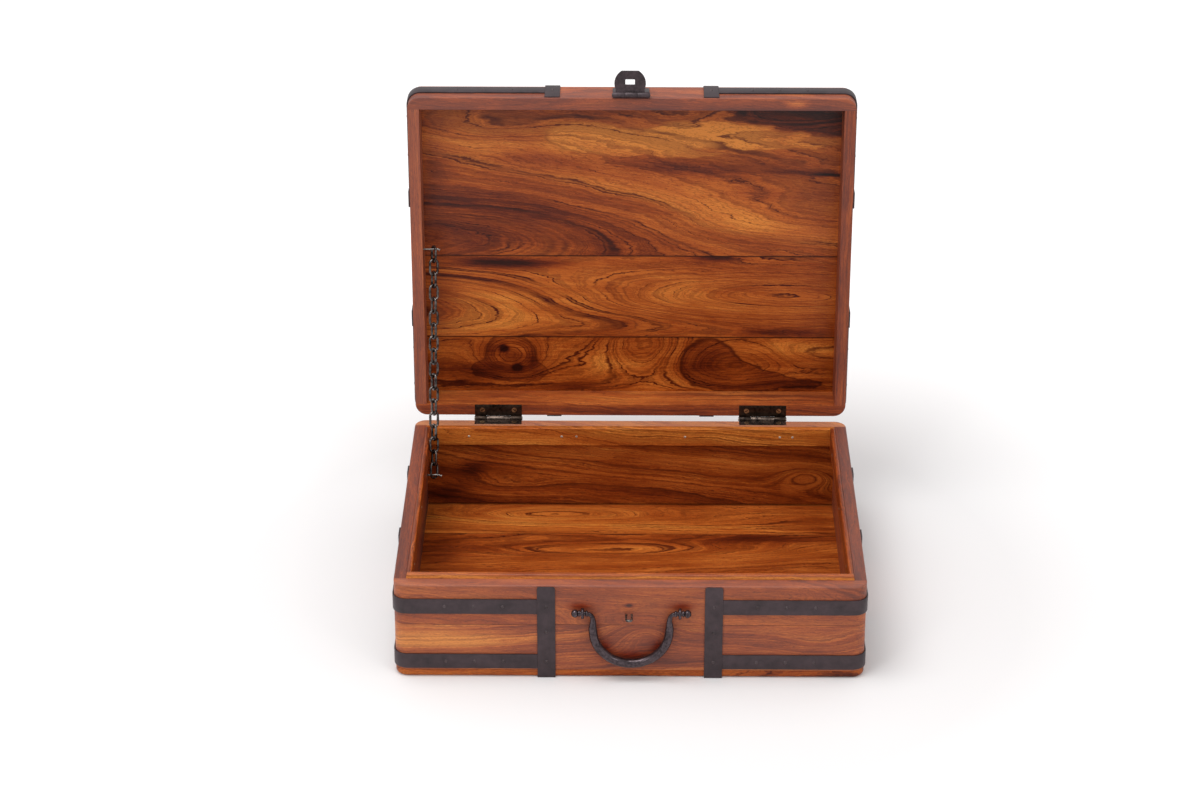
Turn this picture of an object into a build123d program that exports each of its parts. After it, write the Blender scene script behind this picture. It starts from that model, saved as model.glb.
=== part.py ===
from build123d import *
import os

# A low wooden chest with a shallow lid, iron straps, a hasp, a bail handle and a stay chain.
# The chest stands at z = 0, its front faces -Y, and the lid is drawn open at a right angle.

# ---------------------------------------------------------------- driving sizes (mm)
width = 457.0
depth = 359.0
base_height = 101.6
lid_height = 42.0
closed_gap = 1.0
corner_radius = 12.5
lid_top_radius = 11.0
base_bottom_radius = 3.5

floor_thickness = 8.0
lid_panel_thickness = 8.0
front_wall = 13.0
side_wall = 12.0
front_seam_height = 58.5
floor_seam_y = 99.0
lid_seams_y = (9.3, 103.0)

front_lip = 6.0
side_lip = 5.0
lip_depth = 20.0
front_lip_rise = 4.5
side_lip_rise = 1.6
lip_ease = 0.8

strap_thickness = 1.5
front_strap_x = 81.0
strap_width = 17.5
lid_strap_width = 15.5
side_strap_y = 67.5
strap_top_gap = 1.0
strap_corner = 2.5
side_strap_return = 45.0
upper_band = (71.0, 87.1)
lower_band = (10.0, 25.8)
lid_band = (12.5, 28.0)

nail_head_radius = 1.8
nail_head_crown = 1.1
nail_head_height = 0.7
nail_radius = 0.8
nail_length = 6.0
nail_pitch = 28.0
first_nail = 42.0
brad_head_radius = 1.3
brad_head_height = 0.35
brad_length = 7.0
brad_drop = 10.0
back_brad_insets = (40.5, 53.1, 39.7)
front_brad_insets = (46.5, 41.5)
side_brad_inset = 40.5

hinge_x = 140.5
hinge_width = 50.0
hinge_setback = 3.4
barrel_radius = 3.0
leaf_thickness = 1.4
leaf_mortise = 1.0
base_leaf_reach = 10.0
lid_leaf_reach = 12.6
middle_knuckle = 25.0
knuckle_gap = 0.1
pin_radius = 1.3
pin_clearance = 0.05
pin_head_radius = 1.9
pin_head_length = 0.7
screw_spacing = 34.0
screw_head_radius = 2.8
screw_radius = 1.2
screw_length = 9.0

hasp_x = -0.8
hasp_width = 37.5
hasp_leaf_height = 25.7
hasp_barrel_radius = 3.5
hasp_thickness = 1.5
hasp_reach = 26.0
hasp_disc_radius = 16.0
hasp_disc_centre = 12.4
hasp_neck_half = 14.6
hasp_disc_shift = -1.0
hasp_slot_width = 9.7
hasp_slot_height = 5.6
hasp_slot_centre = 14.0
hasp_knuckle = 12.5
hasp_nail_inset = 6.5

staple_x = -1.0
staple_drop = 31.9
staple_wire = 2.2
staple_width = 7.6
staple_reach = 13.0
staple_root = 9.0

handle_x = 1.2
handle_height = 74.4
handle_standoff = 6.0
eye_spread = 47.0
ball_spread = 54.3
ball_radius = 4.0
axle_radius = 2.2
leg_spread = 37.0
bail_bend = 6.0
leg_straight = 12.2
bail_radius = 4.4
eye_wire_radius = 1.5
eye_clearance = 0.4
eye_shank_radius = 1.7
eye_shank_length = 11.0

chain_standoff = 10.8
chain_top_rise = (12.1, 190.1)
chain_foot_inset = (67.5, 31.4)
chain_links = 18
link_wire = 2.6
link_width = 11.5
link_slack = 0.3
link_twist = 60.0
chain_nail_radius = 1.3
chain_nail_head = 2.6
chain_nail_head_length = 1.2
lid_nail_overrun = 5.9
foot_nail_clearance = 0.5
chain_nail_root = 9.0

os.makedirs("parts", exist_ok=True)

# ---------------------------------------------------------------- frames and planes
hinge_y = depth / 2 + hinge_setback
hinge_z = base_height + closed_gap / 2

# Frames have x to the right, y to the back and their height away from the ground when closed.
base_frame = Plane.XY
base_rim = Plane.XY.offset(base_height)
lid_rim = Plane(
    origin=(0, hinge_y + closed_gap / 2, hinge_z + hinge_y),
    x_dir=(1, 0, 0),
    z_dir=(0, 1, 0),
)


def within(frame, origin, x_dir, z_dir):
    """Plane given in a frame's own coordinates."""
    local = Plane(origin=origin, x_dir=x_dir, z_dir=z_dir)
    return Plane(frame.location * local.location)


def side_view(frame, x):
    """Plane across the chest at x, drawn in the frame's y and height."""
    return within(frame, (x, 0, 0), (0, 1, 0), (1, 0, 0))


def end_view(frame, y):
    """Plane along the chest at y, drawn in the frame's x and height."""
    return within(frame, (0, y, 0), (1, 0, 0), (0, -1, 0))


def wall_faces(frame):
    """Outer faces of the four walls, each drawn in its run and height, facing out."""
    return {
        "front": within(frame, (0, -depth / 2, 0), (1, 0, 0), (0, -1, 0)),
        "back": within(frame, (0, depth / 2, 0), (-1, 0, 0), (0, 1, 0)),
        "left": within(frame, (-width / 2, 0, 0), (0, -1, 0), (-1, 0, 0)),
        "right": within(frame, (width / 2, 0, 0), (0, 1, 0), (1, 0, 0)),
    }


base_walls = wall_faces(base_frame)
lid_walls = wall_faces(lid_rim)
lid_top = lid_rim.offset(lid_height)
pieces = {}


# ---------------------------------------------------------------- nails
def spots(plane, points, lift):
    """Places on a plane, each lifted off it by the thickness of what lies there."""
    return [plane.location * Location((x, y, lift)) for x, y in points]


def nail_group(places, head_radius, crown_radius, head_height, shank_radius, shank_length):
    """Nails with low conical heads, driven in at each place."""
    with BuildPart() as group:
        with Locations(*places):
            Cone(
                head_radius,
                crown_radius,
                head_height,
                align=(Align.CENTER, Align.CENTER, Align.MIN),
            )
            Cylinder(
                shank_radius,
                shank_length,
                align=(Align.CENTER, Align.CENTER, Align.MAX),
            )
    return group


band_nail_x = [front_strap_x + first_nail + step * nail_pitch for step in range(3)]
band_nail_y = [side_strap_y + first_nail, side_strap_y + first_nail + 1.5 * nail_pitch]
band_levels = [sum(upper_band) / 2, sum(lower_band) / 2]
strap_levels = [sum(upper_band) / 2, base_height / 2, sum(lower_band) / 2]
strap_nail_spots = []
for side, wall in base_walls.items():
    strap_run = front_strap_x if side in ("front", "back") else side_strap_y
    band_runs = band_nail_x if side in ("front", "back") else band_nail_y
    runs_levels = [(sign * strap_run, level) for sign in (-1, 1) for level in strap_levels]
    runs_levels += [(sign * run, level) for sign in (-1, 1) for run in band_runs for level in band_levels]
    strap_nail_spots += spots(wall, runs_levels, strap_thickness)
base_strap_nails = nail_group(
    strap_nail_spots,
    nail_head_radius,
    nail_head_crown,
    nail_head_height,
    nail_radius,
    nail_length,
)
pieces["base_strap_nails"] = base_strap_nails

lid_band_level = sum(lid_band) / 2
lid_nail_spots = []
for side, wall in lid_walls.items():
    strap_run = front_strap_x if side in ("front", "back") else side_strap_y
    band_runs = band_nail_x if side in ("front", "back") else band_nail_y
    runs = [sign * run for sign in (-1, 1) for run in [strap_run, *band_runs]]
    lid_nail_spots += spots(wall, [(run, lid_band_level) for run in runs], strap_thickness)
cross_nails_y = [step * depth / 3.5 for step in (-1.4, -0.45, 0.45, 1.4)]
top_points = [(sign * front_strap_x, y) for sign in (-1, 1) for y in cross_nails_y]
return_nail_x = width / 2 - side_strap_return + strap_width / 2
top_points += [(i * return_nail_x, j * side_strap_y) for i in (-1, 1) for j in (-1, 1)]
lid_nail_spots += spots(lid_top, top_points, strap_thickness)
lid_strap_nails = nail_group(
    lid_nail_spots,
    nail_head_radius,
    nail_head_crown,
    nail_head_height,
    nail_radius,
    nail_length,
)
pieces["lid_strap_nails"] = lid_strap_nails

# ---------------------------------------------------------------- lip nails
lip_face_y = depth / 2 - front_wall - front_lip
lip_face_x = width / 2 - side_wall - side_lip
brad_level = base_height - brad_drop
back_left, back_second, back_right = back_brad_insets
front_left, front_right = front_brad_insets
back_brad_x = (
    back_left - lip_face_x,
    -72.7,
    -57.0,
    58.0,
    lip_face_x - back_second,
    lip_face_x - back_right,
)
front_brad_x = (front_left - lip_face_x, -60.0, 55.0, lip_face_x - front_right)
side_brad_y = lip_face_y - side_brad_inset
back_brads = [(x, brad_level) for x in back_brad_x]
front_brads = [(x, brad_level) for x in front_brad_x]
side_brads = [(y, brad_level) for y in (-side_brad_y, 0.0, side_brad_y)]
lip_nail_spots = (
    spots(within(base_frame, (0, lip_face_y, 0), (1, 0, 0), (0, -1, 0)), back_brads, 0)
    + spots(within(base_frame, (0, -lip_face_y, 0), (-1, 0, 0), (0, 1, 0)), front_brads, 0)
    + spots(within(base_frame, (-lip_face_x, 0, 0), (0, 1, 0), (1, 0, 0)), side_brads, 0)
    + spots(within(base_frame, (lip_face_x, 0, 0), (0, -1, 0), (-1, 0, 0)), side_brads, 0)
)
lip_nails = nail_group(
    lip_nail_spots,
    brad_head_radius,
    nail_radius,
    brad_head_height,
    nail_radius,
    brad_length,
)
pieces["lip_nails"] = lip_nails


# ---------------------------------------------------------------- straps and corner bands
def corner_bands(frame, levels, strap_half, cutter):
    """Flat bands bent round the four corners, up to the straps beside them."""
    starts = [frame.offset(low) for low, high in levels]
    band_height = levels[0][1] - levels[0][0]
    reach = 2 * strap_thickness
    with BuildPart() as bands:
        with BuildSketch(*starts):
            RectangleRounded(
                width + 2 * strap_thickness,
                depth + 2 * strap_thickness,
                corner_radius + strap_thickness,
            )
            RectangleRounded(width, depth, corner_radius, mode=Mode.SUBTRACT)
            Rectangle(
                2 * (front_strap_x + strap_half),
                depth + 2 * reach,
                mode=Mode.SUBTRACT,
            )
            Rectangle(
                width + 2 * reach,
                2 * (side_strap_y + strap_width / 2),
                mode=Mode.SUBTRACT,
            )
        extrude(amount=band_height)
        add(cutter.part, mode=Mode.SUBTRACT)
    return bands


strap_top = base_height - strap_top_gap
with BuildPart() as base_straps:
    for side, wall in base_walls.items():
        run = front_strap_x if side in ("front", "back") else side_strap_y
        with BuildSketch(wall):
            with Locations((-run, strap_top / 2), (run, strap_top / 2)):
                Rectangle(strap_width, strap_top)
        extrude(amount=strap_thickness)
    strap_corners = base_straps.edges().filter_by(
        lambda edge: abs(edge.length - strap_thickness) < strap_thickness / 100
    )
    fillet(strap_corners.group_by(Axis.Z)[-1], radius=strap_corner)
    add(base_strap_nails.part, mode=Mode.SUBTRACT)
pieces["base_straps"] = base_straps
pieces["base_corner_bands"] = corner_bands(
    base_frame, [lower_band, upper_band], strap_width / 2, base_strap_nails
)
pieces["lid_corner_bands"] = corner_bands(
    lid_rim, [lid_band], lid_strap_width / 2, lid_strap_nails
)


def over_lid(view_planes, run, strap, keep):
    """Straps bent over the lid's rounded top, in the given cross views.

    A kept length trims each strap to a short return at both ends of its run.
    """
    with BuildPart() as straps:
        with BuildSketch(*view_planes):
            with BuildLine():
                Polyline(
                    (-run / 2 - strap_thickness, strap_top_gap),
                    (-run / 2 - strap_thickness, lid_height + strap_thickness),
                    (run / 2 + strap_thickness, lid_height + strap_thickness),
                    (run / 2 + strap_thickness, strap_top_gap),
                    close=True,
                )
            make_face()
            top_corners = vertices().group_by(Axis.Y)[-1]
            fillet(top_corners, radius=lid_top_radius + strap_thickness)
            with BuildSketch(mode=Mode.SUBTRACT):
                with Locations((0, lid_height / 2)):
                    Rectangle(run, lid_height)
                fillet(vertices().group_by(Axis.Y)[-1], radius=lid_top_radius)
            if keep:
                with Locations((0, lid_height)):
                    Rectangle(run - 2 * keep, lid_height, mode=Mode.SUBTRACT)
        extrude(amount=strap / 2, both=True)
        add(lid_strap_nails.part, mode=Mode.SUBTRACT)
    return straps


pieces["lid_cross_straps"] = over_lid(
    [side_view(lid_rim, -front_strap_x), side_view(lid_rim, front_strap_x)],
    depth,
    lid_strap_width,
    0,
)
pieces["lid_side_straps"] = over_lid(
    [end_view(lid_rim, -side_strap_y), end_view(lid_rim, side_strap_y)],
    width,
    strap_width,
    side_strap_return,
)


# ---------------------------------------------------------------- lid hinges
def countersunk_screws(rim, face_height, into, y):
    """Countersunk screws through a leaf, their flat heads at the leaf's face."""
    normal = (0, 0, -into)
    head_plane = within(rim, (0, 0, face_height), (1, 0, 0), normal)
    y_sign = -1 if into > 0 else 1
    centres = [sign * hinge_x + half * screw_spacing / 2 for sign in (-1, 1) for half in (-1, 1)]
    places = [head_plane.location * Location((x, y_sign * y, 0)) for x in centres]
    with BuildPart() as screws:
        with Locations(*places):
            Cone(
                screw_radius,
                screw_head_radius,
                leaf_thickness,
                align=(Align.CENTER, Align.CENTER, Align.MAX),
            )
            Cylinder(
                screw_radius,
                screw_length,
                align=(Align.CENTER, Align.CENTER, Align.MAX),
            )
    return screws


def hinge_leaves(rim, low, axis_height, reach, knuckles, screws):
    """One leaf of each lid hinge: a plate let into the rim and its share of the knuckles."""
    plate_back = hinge_y - barrel_radius - 2 * knuckle_gap
    plate_front = depth / 2 - reach
    views = [side_view(rim, sign * hinge_x + start) for sign in (-1, 1) for start, length in knuckles]
    length = knuckles[0][1]
    with BuildPart() as leaves:
        with BuildSketch(rim.offset(low)):
            with Locations(*[(sign * hinge_x, (plate_front + plate_back) / 2) for sign in (-1, 1)]):
                Rectangle(hinge_width, plate_back - plate_front)
        extrude(amount=leaf_thickness)
        with BuildSketch(*views):
            with Locations((hinge_y, axis_height)):
                Circle(barrel_radius)
            with Locations(((hinge_y + plate_back) / 2, low + leaf_thickness / 2)):
                Rectangle(hinge_y - plate_back, leaf_thickness)
            with Locations((hinge_y, axis_height)):
                Circle(pin_radius + pin_clearance, mode=Mode.SUBTRACT)
        extrude(amount=length)
        add(screws.part, mode=Mode.SUBTRACT)
    return leaves


end_knuckle = (hinge_width - middle_knuckle) / 2 - knuckle_gap
base_leaf_top = leaf_thickness - leaf_mortise
base_knuckles = [(-middle_knuckle / 2, middle_knuckle)]
lid_knuckles = [(-hinge_width / 2, end_knuckle), (middle_knuckle / 2 + knuckle_gap, end_knuckle)]
hinge_base_screws = countersunk_screws(
    base_rim, base_leaf_top, -1, depth / 2 - base_leaf_reach / 2
)
hinge_lid_screws = countersunk_screws(
    lid_rim, -base_leaf_top, 1, depth / 2 - lid_leaf_reach / 2
)
hinge_base_leaves = hinge_leaves(
    base_rim, -leaf_mortise, closed_gap / 2, base_leaf_reach, base_knuckles, hinge_base_screws
)
hinge_lid_leaves = hinge_leaves(
    lid_rim, -base_leaf_top, -closed_gap / 2, lid_leaf_reach, lid_knuckles, hinge_lid_screws
)
pieces["hinge_base_screws"] = hinge_base_screws
pieces["hinge_lid_screws"] = hinge_lid_screws
pieces["hinge_base_leaves"] = hinge_base_leaves
pieces["hinge_lid_leaves"] = hinge_lid_leaves

with BuildPart() as hinge_pins:
    pin_views = [side_view(base_frame, sign * hinge_x) for sign in (-1, 1)]
    with BuildSketch(*pin_views):
        with Locations((hinge_y, hinge_z)):
            Circle(pin_radius)
    extrude(amount=hinge_width / 2 + knuckle_gap, both=True)
    head_start = hinge_width / 2 + knuckle_gap
    for sign in (-1, 1):
        head_views = [side_view(base_frame, hinge * hinge_x + sign * head_start) for hinge in (-1, 1)]
        with BuildSketch(*head_views):
            with Locations((hinge_y, hinge_z)):
                Circle(pin_head_radius)
        extrude(amount=sign * pin_head_length)
pieces["hinge_pins"] = hinge_pins

# ---------------------------------------------------------------- hasp
# The hasp is a small butt hinge whose moving leaf is a slotted disc, drawn standing straight out
# from the lid's front face.
hasp_axis_y = -depth / 2 - hasp_barrel_radius
hasp_left = hasp_x - hasp_width / 2
hasp_mid_start = hasp_x - hasp_knuckle / 2
hasp_end_length = (hasp_width - hasp_knuckle) / 2 - knuckle_gap
hasp_front = lid_walls["front"]

hasp_nail_points = [
    (hasp_x + sign * (hasp_width / 2 - hasp_nail_inset), hasp_leaf_height * share)
    for sign in (-1, 1)
    for share in (0.42, 0.78)
]
hasp_nails = nail_group(
    spots(hasp_front, hasp_nail_points, hasp_thickness),
    nail_head_radius,
    nail_head_crown,
    nail_head_height,
    nail_radius,
    nail_length,
)
pieces["hasp_nails"] = hasp_nails

with BuildPart() as hasp_leaf:
    with BuildSketch(hasp_front):
        leaf_bottom = hasp_barrel_radius + 2 * knuckle_gap
        with Locations((hasp_x, (leaf_bottom + hasp_leaf_height) / 2)):
            Rectangle(hasp_width, hasp_leaf_height - leaf_bottom)
        with Locations((hasp_x, leaf_bottom / 2)):
            Rectangle(hasp_knuckle, leaf_bottom)
    extrude(amount=hasp_thickness)
    with BuildSketch(side_view(lid_rim, hasp_mid_start)):
        with Locations((hasp_axis_y, 0)):
            Circle(hasp_barrel_radius)
    extrude(amount=hasp_knuckle)
    with BuildSketch(side_view(lid_rim, hasp_mid_start)):
        with Locations((hasp_axis_y, 0)):
            Circle(pin_radius + pin_clearance)
    extrude(amount=hasp_knuckle, mode=Mode.SUBTRACT)
    add(hasp_nails.part, mode=Mode.SUBTRACT)
pieces["hasp_leaf"] = hasp_leaf

hasp_disc_x = hasp_x + hasp_disc_shift
hasp_disc_plane = within(lid_rim, (0, hasp_axis_y, -hasp_thickness / 2), (1, 0, 0), (0, 0, 1))
with BuildPart() as hasp_plate:
    with BuildSketch(hasp_disc_plane):
        with Locations((hasp_disc_x, -hasp_disc_centre)):
            Circle(hasp_disc_radius)
        with Locations((hasp_disc_x, -hasp_disc_centre / 2)):
            Rectangle(2 * hasp_neck_half, hasp_disc_centre)
        with Locations(
            (hasp_disc_x, hasp_disc_radius),
            (hasp_disc_x, -hasp_reach - hasp_disc_radius),
        ):
            Rectangle(2 * hasp_disc_radius, 2 * hasp_disc_radius, mode=Mode.SUBTRACT)
        with Locations((hasp_disc_x, -hasp_slot_centre)):
            Rectangle(hasp_slot_width, hasp_slot_height, mode=Mode.SUBTRACT)
        with Locations((hasp_x, 0)):
            Rectangle(
                hasp_knuckle + 2 * knuckle_gap,
                2 * (hasp_barrel_radius + 2 * knuckle_gap),
                mode=Mode.SUBTRACT,
            )
    extrude(amount=hasp_thickness)
    end_views = [
        side_view(lid_rim, hasp_left),
        side_view(lid_rim, hasp_mid_start + hasp_knuckle + knuckle_gap),
    ]
    with BuildSketch(*end_views):
        with Locations((hasp_axis_y, 0)):
            Circle(hasp_barrel_radius)
    extrude(amount=hasp_end_length)
    with BuildSketch(*end_views):
        with Locations((hasp_axis_y, 0)):
            Circle(pin_radius + pin_clearance)
    extrude(amount=hasp_end_length, mode=Mode.SUBTRACT)
pieces["hasp_plate"] = hasp_plate

with BuildPart() as hasp_pin:
    with BuildSketch(side_view(lid_rim, hasp_x)):
        with Locations((hasp_axis_y, 0)):
            Circle(pin_radius)
    extrude(amount=hasp_width / 2 + knuckle_gap, both=True)
    for sign in (-1, 1):
        with BuildSketch(side_view(lid_rim, hasp_x + sign * (hasp_width / 2 + knuckle_gap))):
            with Locations((hasp_axis_y, 0)):
                Circle(pin_head_radius)
        extrude(amount=sign * pin_head_length)
pieces["hasp_pin"] = hasp_pin

# ---------------------------------------------------------------- lock staple
staple_z = base_height - staple_drop
staple_half = (staple_width - staple_wire) / 2
staple_front = -depth / 2 - staple_reach + staple_wire / 2
staple_plane = Plane.XY.offset(staple_z)
with BuildPart() as lock_staple:
    with BuildLine(staple_plane) as staple_path:
        root_left = (staple_x - staple_half, -depth / 2 + staple_root)
        bend_left = (staple_x - staple_half, staple_front + staple_half)
        bend_right = (staple_x + staple_half, staple_front + staple_half)
        root_right = (staple_x + staple_half, -depth / 2 + staple_root)
        Line(root_left, bend_left)
        ThreePointArc(bend_left, (staple_x, staple_front), bend_right)
        Line(bend_right, root_right)
    with BuildSketch(Plane(staple_path.wire() ^ 0)):
        Circle(staple_wire / 2)
    sweep(path=staple_path.wire())
pieces["lock_staple"] = lock_staple

# ---------------------------------------------------------------- bail handle
pivot_y = -depth / 2 - handle_standoff
leg_bottom = handle_height - bail_bend - leg_straight
bail_view = end_view(base_frame, pivot_y)
with BuildPart() as handle_bail:
    for sign in (-1, 1):
        axle_end = (handle_x + sign * ball_spread, handle_height)
        bend_start = (handle_x + sign * (leg_spread + bail_bend), handle_height)
        bend_end = (handle_x + sign * leg_spread, handle_height - bail_bend)
        bend_centre = (handle_x + sign * (leg_spread + bail_bend), handle_height - bail_bend)
        bend_middle = (
            bend_centre[0] - sign * bail_bend * 0.5**0.5,
            bend_centre[1] + bail_bend * 0.5**0.5,
        )
        with BuildLine(bail_view) as axle_path:
            Line(axle_end, bend_start)
            ThreePointArc(bend_start, bend_middle, bend_end)
        with BuildSketch(Plane(axle_path.wire() ^ 0)):
            Circle(axle_radius)
        sweep(path=axle_path.wire())
        taper_top = within(base_frame, (bend_end[0], pivot_y, bend_end[1]), (1, 0, 0), (0, 0, 1))
        with BuildSketch(taper_top):
            Circle(axle_radius)
        with BuildSketch(taper_top.offset(-leg_straight)):
            Circle(bail_radius)
        loft()
        with Locations((axle_end[0], pivot_y, axle_end[1])):
            Sphere(ball_radius)
    with BuildLine(bail_view) as grip_path:
        ThreePointArc(
            (handle_x - leg_spread, leg_bottom),
            (handle_x, leg_bottom - leg_spread),
            (handle_x + leg_spread, leg_bottom),
        )
    with BuildSketch(Plane(grip_path.wire() ^ 0)):
        Circle(bail_radius)
    sweep(path=grip_path.wire())
pieces["handle_bail"] = handle_bail

eye_ring_radius = axle_radius + eye_clearance + eye_wire_radius
with BuildPart() as handle_eyes:
    for sign in (-1, 1):
        eye_view = side_view(base_frame, handle_x + sign * eye_spread)
        with Locations(eye_view.location * Location((pivot_y, handle_height, 0))):
            Torus(eye_ring_radius, eye_wire_radius)
        shank_plane = within(
            base_frame,
            (handle_x + sign * eye_spread, pivot_y + eye_ring_radius, handle_height),
            (1, 0, 0),
            (0, 1, 0),
        )
        with BuildSketch(shank_plane):
            Circle(eye_shank_radius)
        extrude(amount=eye_shank_length)
pieces["handle_eyes"] = handle_eyes

# ---------------------------------------------------------------- stay chain
wall_inner_x = -width / 2 + side_wall
chain_x = wall_inner_x + chain_standoff
chain_top = (hinge_y + chain_top_rise[0], hinge_z + chain_top_rise[1])
chain_foot = (depth / 2 - chain_foot_inset[0], base_height - chain_foot_inset[1])
chain_start = Vector(chain_x, *chain_top)
chain_end = Vector(chain_x, *chain_foot)
chain_line = (chain_end - chain_start).normalized()
nail_seat = chain_nail_radius + link_slack / 2
link_pitch = ((chain_end - chain_start).length + 2 * nail_seat) / chain_links
link_arc = (link_width - link_wire) / 2
link_straight = (link_pitch + link_slack + link_wire) / 2 - link_arc


def chain_link(index):
    """One welded oval link; neighbours stand at right angles to each other."""
    centre = chain_start + chain_line * (link_pitch * (index + 0.5) - nail_seat)
    turn = link_twist if index % 2 == 0 else link_twist - 90
    across = Vector(1, 0, 0).rotate(Axis((0, 0, 0), chain_line), turn)
    face = Plane(origin=centre, x_dir=across, z_dir=across.cross(chain_line))
    with BuildPart() as link:
        with BuildLine(face) as loop:
            Line((link_arc, -link_straight), (link_arc, link_straight))
            ThreePointArc(
                (link_arc, link_straight),
                (0, link_straight + link_arc),
                (-link_arc, link_straight),
            )
            Line((-link_arc, link_straight), (-link_arc, -link_straight))
            ThreePointArc(
                (-link_arc, -link_straight),
                (0, -link_straight - link_arc),
                (link_arc, -link_straight),
            )
        with BuildSketch(Plane(origin=loop.wire() @ 0, z_dir=loop.wire() % 0)):
            Circle(link_wire / 2)
        sweep(path=loop.wire())
    return link


for index in range(chain_links):
    pieces[f"chain_link_{index + 1:02d}"] = chain_link(index)


def wall_nail(point, reach, headed):
    """Nail driven through the left wall's inner face towards the chain."""
    face = Plane(origin=(wall_inner_x, *point), x_dir=(0, 1, 0), z_dir=(1, 0, 0))
    with BuildPart() as nail:
        with BuildSketch(face.offset(-chain_nail_root)):
            Circle(chain_nail_radius)
        extrude(amount=chain_nail_root + reach)
        if headed:
            with BuildSketch(face.offset(reach)):
                Circle(chain_nail_head)
            extrude(amount=chain_nail_head_length)
    return nail


widest_across = max(Vector(1, 0, 0).rotate(Axis.Z, link_twist - turn).X for turn in (0, 90))
chain_half_width = link_arc * widest_across + link_wire / 2
foot_reach = chain_standoff - chain_half_width - foot_nail_clearance
chain_nail_lid = wall_nail(chain_top, chain_standoff + lid_nail_overrun, True)
chain_nail_base = wall_nail(chain_foot, foot_reach, False)
pieces["chain_nail_lid"] = chain_nail_lid
pieces["chain_nail_base"] = chain_nail_base


# ---------------------------------------------------------------- wooden boards
def rounded_form(frame, height, radius, edge_end):
    """Whole outer shape of the base or lid, rounded in plan and along its outer panel."""
    with BuildPart() as form:
        with BuildSketch(frame):
            RectangleRounded(width, depth, corner_radius)
        extrude(amount=height)
        outer_face = form.faces().sort_by(Axis(frame.origin, frame.z_dir))[edge_end]
        fillet(outer_face.edges(), radius=radius)
    return form.part


def board(form, frame, x_span, y_span, z_span, cutters):
    """Board cut from the outer shape, with the holes of what passes through it."""
    with BuildPart() as piece:
        with BuildSketch(frame.offset(z_span[0])):
            with Locations((sum(x_span) / 2, sum(y_span) / 2)):
                Rectangle(x_span[1] - x_span[0], y_span[1] - y_span[0])
        extrude(amount=z_span[1] - z_span[0])
        add(form, mode=Mode.INTERSECT)
        for cutter in cutters:
            add(cutter.part, mode=Mode.SUBTRACT)
    return piece


base_form = rounded_form(base_frame, base_height, base_bottom_radius, 0)
lid_form = rounded_form(lid_rim, lid_height, lid_top_radius, -1)
half_x = width / 2
half_y = depth / 2
inner_x = half_x - side_wall
inner_y = half_y - front_wall
full_x = (-half_x, half_x)
wall_z = (floor_thickness, base_height)
left_x = (-half_x, -inner_x)
right_x = (inner_x, half_x)
between_y = (-inner_y, inner_y)
front_y = (-half_y, -inner_y)
back_y = (inner_y, half_y)
front_cutters = [base_strap_nails, lock_staple, handle_eyes, lip_nails]
back_cutters = [base_strap_nails, hinge_base_leaves, hinge_base_screws, lip_nails]

base_boards = {
    "base_front_lower": (full_x, front_y, (floor_thickness, front_seam_height), [base_strap_nails]),
    "base_front_upper": (full_x, front_y, (front_seam_height, base_height), front_cutters),
    "base_back": (full_x, back_y, wall_z, back_cutters),
    "base_side_left": (left_x, between_y, wall_z, [base_strap_nails, chain_nail_base, lip_nails]),
    "base_side_right": (right_x, between_y, wall_z, [base_strap_nails, lip_nails]),
    "base_floor_front": (full_x, (-half_y, floor_seam_y), (0, floor_thickness), []),
    "base_floor_back": (full_x, (floor_seam_y, half_y), (0, floor_thickness), []),
}
for name, (x_span, y_span, z_span, cutters) in base_boards.items():
    pieces[name] = board(base_form, base_frame, x_span, y_span, z_span, cutters)

lid_wall_z = (0, lid_height - lid_panel_thickness)
panel_z = (lid_height - lid_panel_thickness, lid_height)
lid_boards = {
    "lid_front": (full_x, front_y, lid_wall_z, [lid_strap_nails, hasp_nails]),
    "lid_back": (full_x, back_y, lid_wall_z, [lid_strap_nails, hinge_lid_leaves, hinge_lid_screws]),
    "lid_side_left": (left_x, between_y, lid_wall_z, [lid_strap_nails, chain_nail_lid]),
    "lid_side_right": (right_x, between_y, lid_wall_z, [lid_strap_nails]),
    "lid_panel_front": (full_x, (-half_y, lid_seams_y[0]), panel_z, [lid_strap_nails]),
    "lid_panel_middle": (full_x, lid_seams_y, panel_z, [lid_strap_nails]),
    "lid_panel_back": (full_x, (lid_seams_y[1], half_y), panel_z, [lid_strap_nails]),
}
for name, (x_span, y_span, z_span, cutters) in lid_boards.items():
    pieces[name] = board(lid_form, lid_rim, x_span, y_span, z_span, cutters)


# ---------------------------------------------------------------- inner lips
def lip_strip(section_view, run, outer, thickness, top):
    """Strip inside the rim; what stands above the rim is eased back from the lid."""
    inner = outer - thickness if outer > 0 else outer + thickness
    ease = lip_ease if outer < 0 else -lip_ease
    with BuildPart() as strip:
        with BuildSketch(section_view):
            with BuildLine():
                Polyline(
                    (outer, base_height - lip_depth),
                    (outer, base_height),
                    (outer + ease, base_height),
                    (outer + ease, base_height + top),
                    (inner, base_height + top),
                    (inner, base_height - lip_depth),
                    close=True,
                )
            make_face()
        extrude(amount=run / 2, both=True)
        add(lip_nails.part, mode=Mode.SUBTRACT)
    return strip


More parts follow.
